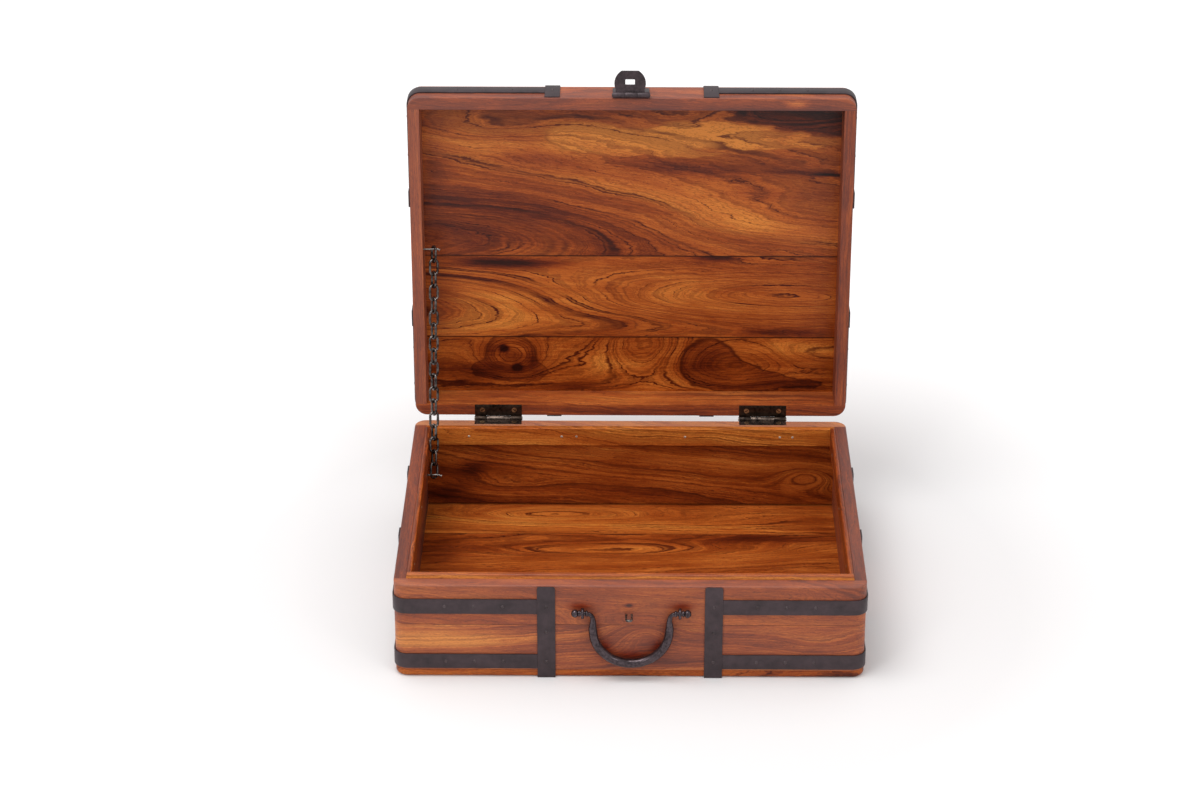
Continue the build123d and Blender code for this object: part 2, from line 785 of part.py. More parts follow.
middle_view = side_view(base_frame, 0)
cross_view = end_view(base_frame, 0)
side_lip_run = 2 * (inner_y - front_lip)
pieces["lip_front"] = lip_strip(middle_view, 2 * inner_x, -inner_y, front_lip, front_lip_rise)
pieces["lip_left"] = lip_strip(cross_view, side_lip_run, -inner_x, side_lip, side_lip_rise)
pieces["lip_right"] = lip_strip(cross_view, side_lip_run, inner_x, side_lip, side_lip_rise)
with BuildPart() as lip_back:
    with BuildSketch(middle_view):
        with Locations((inner_y - front_lip / 2, base_height - lip_depth / 2)):
            Rectangle(front_lip, lip_depth)
    extrude(amount=inner_x, both=True)
    add(lip_nails.part, mode=Mode.SUBTRACT)
pieces["lip_back"] = lip_back

# ---------------------------------------------------------------- write the pieces
for name, piece in pieces.items():
    piece.part.label = name
    export_step(piece.part, f"parts/{name}.step")
print(len(pieces), "pieces, chain pitch", round(link_pitch, 3))
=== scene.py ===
import bpy
import bmesh
import math
from mathutils import Matrix, Vector


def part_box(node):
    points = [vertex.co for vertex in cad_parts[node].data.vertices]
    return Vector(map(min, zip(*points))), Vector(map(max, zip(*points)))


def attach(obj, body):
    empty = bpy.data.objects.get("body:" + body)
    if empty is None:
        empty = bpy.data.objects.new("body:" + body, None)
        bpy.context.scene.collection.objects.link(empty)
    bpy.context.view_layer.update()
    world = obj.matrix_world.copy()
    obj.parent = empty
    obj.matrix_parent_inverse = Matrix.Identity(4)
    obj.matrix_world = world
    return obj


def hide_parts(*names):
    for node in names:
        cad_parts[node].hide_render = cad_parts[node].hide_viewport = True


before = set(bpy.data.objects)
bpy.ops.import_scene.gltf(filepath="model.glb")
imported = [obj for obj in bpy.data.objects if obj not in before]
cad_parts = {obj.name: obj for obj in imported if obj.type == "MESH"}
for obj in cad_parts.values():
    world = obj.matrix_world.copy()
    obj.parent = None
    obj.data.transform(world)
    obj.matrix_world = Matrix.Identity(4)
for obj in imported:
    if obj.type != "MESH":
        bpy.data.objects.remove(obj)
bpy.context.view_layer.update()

# ---------------------------------------------------------------- base boards
# The base is a shallow box of oiled sheesham. Full-width front and back boards take the side
# boards between them, the front is glued up from two widths, and two floor boards close it from
# below. The corners are rounded over and the rim is sanded soft.
CORNER_RADIUS = 0.0125
BASE_BOTTOM_RADIUS = 0.0035
RIM_EASE = 0.0011
JOINT_EASE = 0.0004
SMOOTH_ANGLE = math.radians(38)
SAW_ALLOWANCE = 0.0008
OUTER_SKIN = 0.006
TOUCH = 1e-6
CUT_SNAP = 1e-7
BOTH_SIDES = (-1, 1)


def box_of(*nodes):
    """Lowest and highest corners of several nodes together."""
    boxes = [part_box(node) for node in nodes]
    low = Vector([min(box[0][axis] for box in boxes) for axis in range(3)])
    high = Vector([max(box[1][axis] for box in boxes) for axis in range(3)])
    return low, high


def axis_vector(axis, length):
    """A vector of a given length along one axis."""
    vector = Vector((0, 0, 0))
    vector[axis] = length
    return vector


def add_block(shape, low, high):
    """A squared block between two corners."""
    block = bmesh.ops.create_cube(shape, size=1)["verts"]
    bmesh.ops.scale(shape, vec=high - low, verts=block)
    bmesh.ops.translate(shape, vec=(low + high) / 2, verts=block)
    return block


def sharp_edges(shape, degrees):
    """Edges at which a shape turns by more than an angle."""
    return [e for e in shape.edges if e.is_manifold and e.calc_face_angle(0) > math.radians(degrees)]


def round_over(shape, edges, radius, segments, clamp=False):
    """Round edges over to a radius."""
    bmesh.ops.bevel(
        shape,
        geom=edges,
        offset=radius,
        segments=segments,
        profile=0.5,
        affect="EDGES",
        material=-1,
        clamp_overlap=clamp,
    )


def rounded_block(low, high, corner, panel_radius, panel_side):
    """Solid block with rounded corners and a rounded edge round its outer panel."""
    form = bmesh.new()
    add_block(form, low, high)
    uprights = [e for e in form.edges if abs(e.verts[0].co.z - e.verts[1].co.z) > (high.z - low.z) / 2]
    round_over(form, uprights, corner, segments=10)
    panel = high.z if panel_side > 0 else low.z
    outline = [e for e in form.edges if all(abs(v.co.z - panel) < TOUCH for v in e.verts)]
    round_over(form, outline, panel_radius, segments=7)
    return form


def saw(shape, point, normal, keep_cut_open=False):
    """Saw off what lies beyond a plane, and close the sawn face."""
    cut = bmesh.ops.bisect_plane(
        shape,
        geom=shape.verts[:] + shape.edges[:] + shape.faces[:],
        dist=CUT_SNAP,
        plane_co=point,
        plane_no=normal,
        clear_outer=True,
    )
    edges = [item for item in cut["geom_cut"] if isinstance(item, bmesh.types.BMEdge)]
    if edges and not keep_cut_open:
        bmesh.ops.contextual_create(shape, geom=edges)


def sawn_board(form, low, high):
    """Copy of an outer form, sawn down to one board's box."""
    board = form.copy()
    for axis in range(3):
        for side, limit in zip(BOTH_SIDES, (low[axis], high[axis])):
            waste = max(side * vert.co[axis] for vert in board.verts) - side * limit
            if waste >= SAW_ALLOWANCE:
                saw(board, axis_vector(axis, limit), axis_vector(axis, side))
    return board


def is_outer(face, half_width, half_depth):
    """Whether a face belongs to the outside of the box, seen in plan."""
    centre = face.calc_center_median()
    across_x = abs(face.normal.x) > 0.3 and abs(centre.x) > half_width - OUTER_SKIN
    across_y = abs(face.normal.y) > 0.3 and abs(centre.y) > half_depth - OUTER_SKIN
    return across_x or across_y


def ease_arrises(board, rim_level, half_width, half_depth):
    """Sand the outer edge of the rim soft and take a hair off every other sharp edge."""
    board.normal_update()
    sharp = sharp_edges(board, 50)
    rim = []
    for edge in sharp:
        on_rim = all(abs(vert.co.z - rim_level) < TOUCH for vert in edge.verts)
        if on_rim and any(is_outer(face, half_width, half_depth) for face in edge.link_faces):
            rim.append(edge)
    fine = [edge for edge in sharp if edge not in rim]
    for edges, radius, segments in ((rim, RIM_EASE, 3), (fine, JOINT_EASE, 2)):
        round_over(board, [edge for edge in edges if edge.is_valid], radius, segments, clamp=True)


def make_piece(name, shape, material, body, node):
    """Turn a shape into one piece that rides on a body and stands for a node."""
    bmesh.ops.recalc_face_normals(shape, faces=shape.faces)
    mesh = bpy.data.meshes.new(name)
    shape.to_mesh(mesh)
    shape.free()
    mesh.materials.append(material)
    mesh.shade_smooth()
    mesh.set_sharp_from_angle(angle=SMOOTH_ANGLE)
    piece = bpy.data.objects.new(name, mesh)
    bpy.context.scene.collection.objects.link(piece)
    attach(piece, body)
    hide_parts(node)
    return piece


def keep_flats_flat(piece):
    """Shade the flats flat and only the rounded edges round."""
    flats = piece.modifiers.new("flats", "WEIGHTED_NORMAL")
    flats.keep_sharp = True


# ---- sheesham finish
# Oiled and waxed Indian rosewood: growth rings cut by the saw as contour lines, golden sapwood
# against red-brown and nearly black heartwood streaks, and fine open pores along the grain.
RING_DARK = (46, 10, 3)
HEARTWOOD = (98, 33, 8)
RED_WOOD = (150, 66, 18)
TAN_WOOD = (188, 98, 35)
SAPWOOD = (220, 136, 56)
RING_EDGE = (98, 46, 34)
PORE_DARK = (132, 84, 64)
# dark line colour for glued joints, and for painted shade along a gap or an inside corner
GLUE_AND_SHADE_LINE = (70, 44, 38)
OIL_STAIN = (232, 164, 96)
# a pale pinkish veil for outer boards: partly unwaxed wood, partly a painted sheen; the level below marks
# where the rim gets its own share of it
DRY_FILM_AND_SHEEN = (176, 134, 126)
RIM_FILM_LEVEL = 100.0
WHOLE_LENGTH = 9999
SIDE_AXES = ("Y", "Z", "X")
FLOOR_AXES = ("X", "Y", "Z")


def paint(*rgb):
    """A screen colour, 0 to 255, as a linear shader colour."""
    linear = [(c / 255) / 12.92 if c <= 10 else ((c / 255 + 0.055) / 1.055) ** 2.4 for c in rgb]
    return (*linear, 1)


def feed(tree, socket, value):
    """Link a socket to another, or set it to a fixed value."""
    if isinstance(value, bpy.types.NodeSocket):
        tree.links.new(value, socket)
    else:
        socket.default_value = value


def calc(tree, operation, *values, clamp=False):
    """One arithmetic step on the surface."""
    node = tree.nodes.new("ShaderNodeMath")
    node.operation = operation
    node.use_clamp = clamp
    for socket, value in zip(node.inputs, values):
        feed(tree, socket, value)
    return node.outputs[0]


def vector_of(tree, x, y, z):
    """A place on the surface from three measures."""
    node = tree.nodes.new("ShaderNodeCombineXYZ")
    for socket, value in zip(node.inputs, (x, y, z)):
        feed(tree, socket, value)
    return node.outputs[0]


def grainy(tree, place, detail=2.0, roughness=0.5, scale=1.0):
    """Cloudy pattern between 0 and 1 at a place."""
    node = tree.nodes.new("ShaderNodeTexNoise")
    node.inputs["Scale"].default_value = scale
    node.inputs["Detail"].default_value = detail
    node.inputs["Roughness"].default_value = roughness
    feed(tree, node.inputs["Vector"], place)
    return node.outputs[0]


def layered(tree, level, detail=2.0, roughness=0.5):
    """Irregular layers, like rings of good and poor years, along one measure."""
    node = tree.nodes.new("ShaderNodeTexNoise")
    node.noise_dimensions = "1D"
    node.inputs["Scale"].default_value = 1.0
    node.inputs["Detail"].default_value = detail
    node.inputs["Roughness"].default_value = roughness
    feed(tree, node.inputs["W"], level)
    return node.outputs[0]


def ramp(tree, factor, *stops):
    """Colours or greys set out along a factor."""
    node = tree.nodes.new("ShaderNodeValToRGB")
    elements = node.color_ramp.elements
    while len(elements) < len(stops):
        elements.new(0.5)
    for element, (position, colour) in zip(elements, stops):
        element.position = position
        element.color = colour if isinstance(colour, tuple) else (colour, colour, colour, 1)
    feed(tree, node.inputs[0], factor)
    return node.outputs[0]


def blend(tree, kind, amount, first, second):
    """Lay one colour over another."""
    node = tree.nodes.new("ShaderNodeMix")
    node.data_type = "RGBA"
    node.blend_type = kind
    feed(tree, node.inputs["Factor"], amount)
    feed(tree, node.inputs["A"], first)
    feed(tree, node.inputs["B"], second)
    return node.outputs["Result"]


def board_measures(tree, grain, across, depth):
    """Distances in millimetres along the grain, across the board and into it."""
    place = tree.nodes.new("ShaderNodeTexCoord").outputs["Object"]
    split = tree.nodes.new("ShaderNodeSeparateXYZ")
    tree.links.new(place, split.inputs[0])
    return [calc(tree, "MULTIPLY", split.outputs[axis], 1000.0) for axis in (grain, across, depth)]


def swell(tree, u, v, centre, size):
    """Soft round patch, 1 at its centre and 0 well outside it."""
    du = calc(tree, "DIVIDE", calc(tree, "SUBTRACT", u, float(centre[0])), float(size[0]))
    dv = calc(tree, "DIVIDE", calc(tree, "SUBTRACT", v, float(centre[1])), float(size[1]))
    square = calc(tree, "ADD", calc(tree, "MULTIPLY", du, du), calc(tree, "MULTIPLY", dv, dv))
    return calc(tree, "EXPONENT", calc(tree, "MULTIPLY", square, -1.0))


def along(tree, measures, *lengths, shift=0.0):
    """Place in a pattern that is stretched to a length along each of a board's measures."""
    scaled = [calc(tree, "MULTIPLY_ADD", m, 1 / size, shift) for m, size in zip(measures, lengths)]
    return vector_of(tree, *scaled)


def sheesham(
    name,
    axes=("X", "Z", "Y"),
    lean=0.5,
    rake=0.0,
    ring=7.0,
    hills=(),
    eyes=(),
    patches=(),
    stains=(),
    glue_and_shade_lines=(),
    sway=24.0,
    seed=0.0,
    tone=0.0,
    contrast=1.0,
    lines=0.7,
    dry_and_sheen=0.0,
    rim_dry_and_sheen=0.0,
    gloss=0.38,
):
    """Sheesham for one board.

    Places and sizes are in millimetres, u along the grain and v across the board. The rings are
    contours of a slope that leans across the board and rakes along it, raised or sunk at its hills
    (u, v, size along, size across, rise). Patches (u, v, size along, size across, lift) make soft
    areas lighter or darker. Eyes are closed figures (lift, depth of the dark rim, softness, and the
    blobs that run together in them). Stains (u, v, size along, size across) hold more oil. The dark
    lines (v, half width, depth) are glued joints between boards; where one lies along a gap or an
    inside corner it is painted shade as well. A pale pinkish veil mixed into the colour stands partly
    for little wax left on the board and partly for a painted sheen, and makes the board rougher; the
    rim amount mixes the same veil into its highest edge, and gloss is how much the finish mirrors.
    """
    material = bpy.data.materials.new(name)
    material.use_nodes = True
    tree = material.node_tree
    shader = tree.nodes["Principled BSDF"]
    measures = board_measures(tree, *axes)
    u, v, w = measures

    # slope of the cut through the log, bent by slow wander, small ripples and feathered fibres
    bend = 0.0
    for lengths, detail, sweep in (
        ((210.0, 60.0, 60.0), 1.5, sway),
        ((34.0, 8.0, 8.0), 2.0, 4.2),
        ((5.0, 1.3, 1.3), 1.0, 1.3),
    ):
        wander = grainy(tree, along(tree, measures, *lengths, shift=seed), detail)
        bend = calc(tree, "MULTIPLY_ADD", calc(tree, "SUBTRACT", wander, 0.5), sweep, bend)
    bent = calc(tree, "MULTIPLY_ADD", bend, 0.45, v)
    slant = calc(tree, "MULTIPLY_ADD", bend, 0.7, v)
    flow = calc(tree, "MULTIPLY_ADD", u, 0.5 * rake / max(lean, 0.3), slant)
    grain = (u, flow, w)
    height = calc(tree, "MULTIPLY_ADD", v, lean, calc(tree, "MULTIPLY_ADD", w, 0.35, bend))
    height = calc(tree, "MULTIPLY_ADD", u, rake, height)
    for hill_u, hill_v, size_u, size_v, rise in hills:
        bump = swell(tree, u, bent, (hill_u, hill_v), (size_u, size_v))
        height = calc(tree, "MULTIPLY_ADD", bump, float(rise), height)
    level = calc(tree, "MULTIPLY_ADD", height, 1 / ring, seed * 7.3)

    # how light the wood is: broad zones, single rings, clouds, streaks and fibres
    rings = calc(tree, "SUBTRACT", layered(tree, level, 3.0, 0.65), 0.5)
    shade = calc(tree, "MULTIPLY", rings, 0.62 * contrast)
    shade = calc(tree, "ADD", shade, 0.5 + tone)
    zones = layered(tree, calc(tree, "MULTIPLY_ADD", level, 0.23, seed + 11.0), 1.0)
    shade = calc(tree, "MULTIPLY_ADD", calc(tree, "SUBTRACT", zones, 0.5), 0.75 * contrast, shade)
    cloud = grainy(tree, along(tree, grain, 70.0, 20.0, 20.0, shift=seed + 3.0), 3.0)
    shade = calc(tree, "MULTIPLY_ADD", calc(tree, "SUBTRACT", cloud, 0.5), 0.5, shade)
    streak = grainy(tree, along(tree, grain, 40.0, 1.5, 1.5, shift=seed + 5.0), 3.0, 0.7)
    shade = calc(tree, "MULTIPLY_ADD", calc(tree, "SUBTRACT", streak, 0.5), 0.42, shade)
    for patch_u, patch_v, size_u, size_v, lift in patches:
        area = swell(tree, u, bent, (patch_u, patch_v), (size_u, size_v))
        shade = calc(tree, "MULTIPLY_ADD", area, float(lift), shade)

    # thin dark ring edges, broken here and there, hair lines between them, and the rims of eyes
    edge_level = layered(tree, calc(tree, "MULTIPLY_ADD", level, 0.9, 23.0), 1.0)
    edge = ramp(tree, edge_level, (0.458, 0.0), (0.477, 1.0), (0.495, 1.0), (0.514, 0.0))
    broken = ramp(tree, cloud, (0.38, 0.25), (0.56, 1.0))
    edge = calc(tree, "MULTIPLY", calc(tree, "MULTIPLY", edge, broken), lines)
    hair_level = layered(tree, calc(tree, "MULTIPLY", level, 4.3), 1.0)
    hair = ramp(tree, hair_level, (0.42, 0.0), (0.5, 1.0), (0.58, 0.0))
    edge = calc(tree, "MAXIMUM", edge, calc(tree, "MULTIPLY", hair, 0.4))
    ragged = grainy(tree, along(tree, measures, 26.0, 9.0, 9.0, shift=seed + 8.0), 2.0)
    ragged = calc(tree, "MULTIPLY_ADD", calc(tree, "SUBTRACT", ragged, 0.5), 13.0, bent)
    for lift, rim_depth, softness, blobs in eyes:
        area = 0.0
        for blob_u, blob_v, size_u, size_v in blobs:
            area = calc(tree, "ADD", area, swell(tree, u, ragged, (blob_u, blob_v), (size_u, size_v)))
        inside = ramp(tree, area, (0.36 - softness, 0.0), (0.40 + softness, 1.0))
        rim = ramp(tree, area, (0.28, 0.0), (0.345, 1.0), (0.37, 1.0), (0.45, 0.0))
        shade = calc(tree, "MULTIPLY_ADD", inside, float(lift), shade)
        edge = calc(tree, "MAXIMUM", edge, calc(tree, "MULTIPLY", rim, float(rim_depth)))

    fibre = grainy(tree, along(tree, grain, 11.0, 0.5, 0.5, shift=seed), 3.0, 0.7)
    shade = calc(tree, "MULTIPLY_ADD", calc(tree, "SUBTRACT", fibre, 0.5), 0.5, shade, clamp=True)
    colour = ramp(
        tree,
        shade,
        (0.06, paint(*RING_DARK)),
        (0.28, paint(*HEARTWOOD)),
        (0.50, paint(*RED_WOOD)),
        (0.70, paint(*TAN_WOOD)),
        (0.94, paint(*SAPWOOD)),
    )
    colour = blend(tree, "MULTIPLY", edge, colour, paint(*RING_EDGE))
    pinholes = grainy(tree, along(tree, grain, 3.0, 0.4, 0.4, shift=seed), 1.0)
    pore = ramp(tree, pinholes, (0.60, 0.0), (0.70, 1.0))
    colour = blend(tree, "MULTIPLY", calc(tree, "MULTIPLY", pore, 0.55), colour, paint(*PORE_DARK))
    # dark lines along the board: glued joints, and painted shade where one is set along a gap or an inside
    # corner
    for line_level, half_width, depth in glue_and_shade_lines:
        away = calc(tree, "ABSOLUTE", calc(tree, "SUBTRACT", v, float(line_level)))
        glue_and_shade = calc(tree, "SUBTRACT", 1.0, calc(tree, "DIVIDE", away, float(half_width)), clamp=True)
        glue_and_shade = calc(tree, "MULTIPLY", glue_and_shade, float(depth))
        colour = blend(tree, "MULTIPLY", glue_and_shade, colour, paint(*GLUE_AND_SHADE_LINE))
    # a pale veil over outer boards: partly unwaxed wood, partly a painted sheen; oil stains keep it off
    film_and_sheen = dry_and_sheen
    for stain_u, stain_v, size_u, size_v in stains:
        oiled = swell(tree, u, v, (stain_u, stain_v), (size_u, size_v))
        colour = blend(tree, "MULTIPLY", oiled, colour, paint(*OIL_STAIN))
        film_and_sheen = calc(tree, "MULTIPLY", calc(tree, "SUBTRACT", 1.0, oiled), film_and_sheen)
    if rim_dry_and_sheen:
        on_rim = calc(tree, "GREATER_THAN", v, RIM_FILM_LEVEL)
        film_and_sheen = calc(tree, "MAXIMUM", film_and_sheen, calc(tree, "MULTIPLY", on_rim, rim_dry_and_sheen))
    if dry_and_sheen or rim_dry_and_sheen:
        colour = blend(tree, "MIX", film_and_sheen, colour, paint(*DRY_FILM_AND_SHEEN))
    tree.links.new(colour, shader.inputs["Base Color"])

    # a worn wax finish: satin, a little rougher in the pale soft wood
    tree.links.new(calc(tree, "MULTIPLY_ADD", cloud, 0.3, 0.24 + dry_and_sheen), shader.inputs["Roughness"])
    shader.inputs["Specular IOR Level"].default_value = gloss
    relief = tree.nodes.new("ShaderNodeBump")
    relief.inputs["Strength"].default_value = 0.35
    relief.inputs["Distance"].default_value = 0.0002
    tree.links.new(calc(tree, "SUBTRACT", fibre, calc(tree, "MULTIPLY", pore, 0.8)), relief.inputs["Height"])
    tree.links.new(relief.outputs[0], shader.inputs["Normal"])
    return material


base_low, base_high = box_of(
    "base_front_upper", "base_back", "base_side_left", "base_side_right", "base_floor_front"
)
HALF_WIDTH = base_high.x
HALF_DEPTH = base_high.y
BASE_RIM = box_of("base_front_upper")[1].z
base_form = rounded_block(
    base_low,
    Vector((base_high.x, base_high.y, BASE_RIM)),
    CORNER_RADIUS,
    BASE_BOTTOM_RADIUS,
    -1,
)
FRONT_SEAM = (58.5, 0.6, 0.5)
BAIL_STAINS = (
    (1.2, 25, 20, 6),
    (-24, 34, 7, 10),
    (27, 34, 7, 10),
    (-34, 52, 4, 9),
    (37, 52, 4, 9),
    (-48, 79, 12, 4),
    (50, 79, 12, 4),
)
base_boards = {
    "base_front_upper": sheesham(
        "sheesham_front_upper",
        lean=0.42, rake=0.05, ring=6.0, seed=2.1, sway=16, tone=-0.02, contrast=0.6, lines=0.5,
        dry_and_sheen=0.1, rim_dry_and_sheen=0.22, glue_and_shade_lines=(FRONT_SEAM,), stains=BAIL_STAINS[3:],
        hills=((0, 60, 60, 14, 14), (130, 96, 90, 16, -8)),
        patches=(
            (-60, 92, 40, 8, -0.1), (150, 92, 60, 10, -0.05), (0, 70, 60, 16, -0.08),
            (-1, 79.6, 3.8, 2.1, -0.6),
        ),
    ),
    "base_front_lower": sheesham(
        "sheesham_front_lower",
        lean=0.95, rake=-0.06, ring=3.8, seed=5.4, sway=13, tone=-0.03, contrast=0.8, lines=0.65,
        dry_and_sheen=0.1, glue_and_shade_lines=(FRONT_SEAM,), stains=BAIL_STAINS[:5],
        hills=((14, 50, 32, 20, -20), (190, 34, 56, 24, 16)),
        patches=(
            # the band at 4 along the whole bottom edge is painted light on the rounded-under edge
            (-190, 44, 80, 15, 0.52), (150, 40, 70, 12, 0.1), (0, 30, 60, 16, -0.04), (0, 4, 400, 8, 0.3),
        ),
    ),
    "base_back": sheesham(
        "sheesham_back",
        lean=0.75, rake=0.1, ring=4.6, seed=8.2, sway=16, tone=0.02, contrast=0.6, gloss=0.25,
        # the line at 81 is painted shade in the gap under the back lip; the one at 8 is the joint with the
        # floor, darkened with painted shade in that inside corner
        rim_dry_and_sheen=0.4, glue_and_shade_lines=((81.0, 2.4, 0.9), (8.0, 2.0, 0.7)),
        hills=((190, 44, 34, 15, -24), (-130, 30, 60, 14, 14)),
        patches=(
            (-80, 66, 60, 9, 0.14), (-150, 58, 30, 10, -0.2), (110, 55, 60, 14, 0.06),
            # the band at 102 along the whole rim top is a painted highlight on that upward face
            (0, 18, 300, 8, -0.1), (0, 102, WHOLE_LENGTH, 3, 0.42), (-168, 50, 14, 8, -0.3),
            (-188, 26, 20, 8, -0.3),
        ),
    ),
    "base_side_left": sheesham(
        "sheesham_side_left",
        axes=SIDE_AXES, lean=0.7, ring=6.0, seed=1.7, tone=-0.26, contrast=0.7, dry_and_sheen=0.08, rim_dry_and_sheen=0.1,
    ),
    "base_side_right": sheesham(
        "sheesham_side_right",
        axes=SIDE_AXES, lean=0.6, ring=6.5, seed=6.6, tone=-0.04, contrast=0.7, dry_and_sheen=0.08, rim_dry_and_sheen=0.16,
    ),
    "base_floor_front": sheesham(
        "sheesham_floor_front",
        axes=FLOOR_AXES, lean=0.5, rake=-0.04, ring=4.2, seed=3.3, sway=26, tone=0.06, contrast=0.6,
        lines=0.9, gloss=0.25,
        hills=((-10, 62, 140, 20, 26), (-90, -60, 160, 50, 20)),
        patches=(
            (60, 60, 120, 12, 0.1), (-140, 10, 60, 30, -0.06), (200, -90, 30, 60, 0.08),
            (150, 90, 70, 9, -0.25), (-199, 46, 24, 28, -0.16),
        ),
    ),
    "base_floor_back": sheesham(
        "sheesham_floor_back",
        axes=FLOOR_AXES, lean=0.5, rake=0.03, ring=5.0, seed=9.1, sway=16, tone=0.17, contrast=0.6,
        # the line at 165.5 is the joint with the back wall, darkened with painted shade in that inside
        # corner; the one at 99 is the joint between the floor boards
        lines=1.0, gloss=0.25, glue_and_shade_lines=((99.0, 1.2, 0.8), (165.5, 2.0, 0.8)),
        hills=((-80, 141, 92, 17, 34), (60, 124, 90, 18, 12)),
        patches=((-60, 130, 110, 14, 0.1), (175, 122, 50, 14, -0.2), (206, 100, 18, 30, -0.15)),
    ),
}
for node, finish in base_boards.items():
    board = sawn_board(base_form, *box_of(node))
    ease_arrises(board, BASE_RIM, HALF_WIDTH, HALF_DEPTH)
    keep_flats_flat(make_piece(f"{node}_board", board, finish, "base", node))

# ---------------------------------------------------------------- lid boards
# The lid is a shallow tray of the same wood, framed like the base and closed by three boards
# glued edge to edge. It is shaped flat, rim down, and then stood open on its hinges.
LID_TOP_RADIUS = 0.011
lid_low, lid_high = box_of("lid_front", "lid_back", "lid_panel_front", "lid_panel_middle", "lid_panel_back")
LID_HEIGHT = lid_high.y - lid_low.y
LID_OPEN = Matrix(
    (
        (1, 0, 0, 0),
        (0, 0, 1, lid_low.y),
        (0, -1, 0, (lid_low.z + lid_high.z) / 2),
        (0, 0, 0, 1),
    )
)
LID_SHUT = LID_OPEN.inverted()


def shut_box(node):
    """A lid node's box with the lid laid flat, rim down."""
    corners = [LID_SHUT @ Vector(corner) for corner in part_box(node)]
    low = Vector([min(corner[axis] for corner in corners) for axis in range(3)])
    high = Vector([max(corner[axis] for corner in corners) for axis in range(3)])
    return low, high


def opened(shape):
    """Stand a shape that was made with the lid flat where the open lid is."""
    bmesh.ops.transform(shape, matrix=LID_OPEN, verts=shape.verts)
    return shape


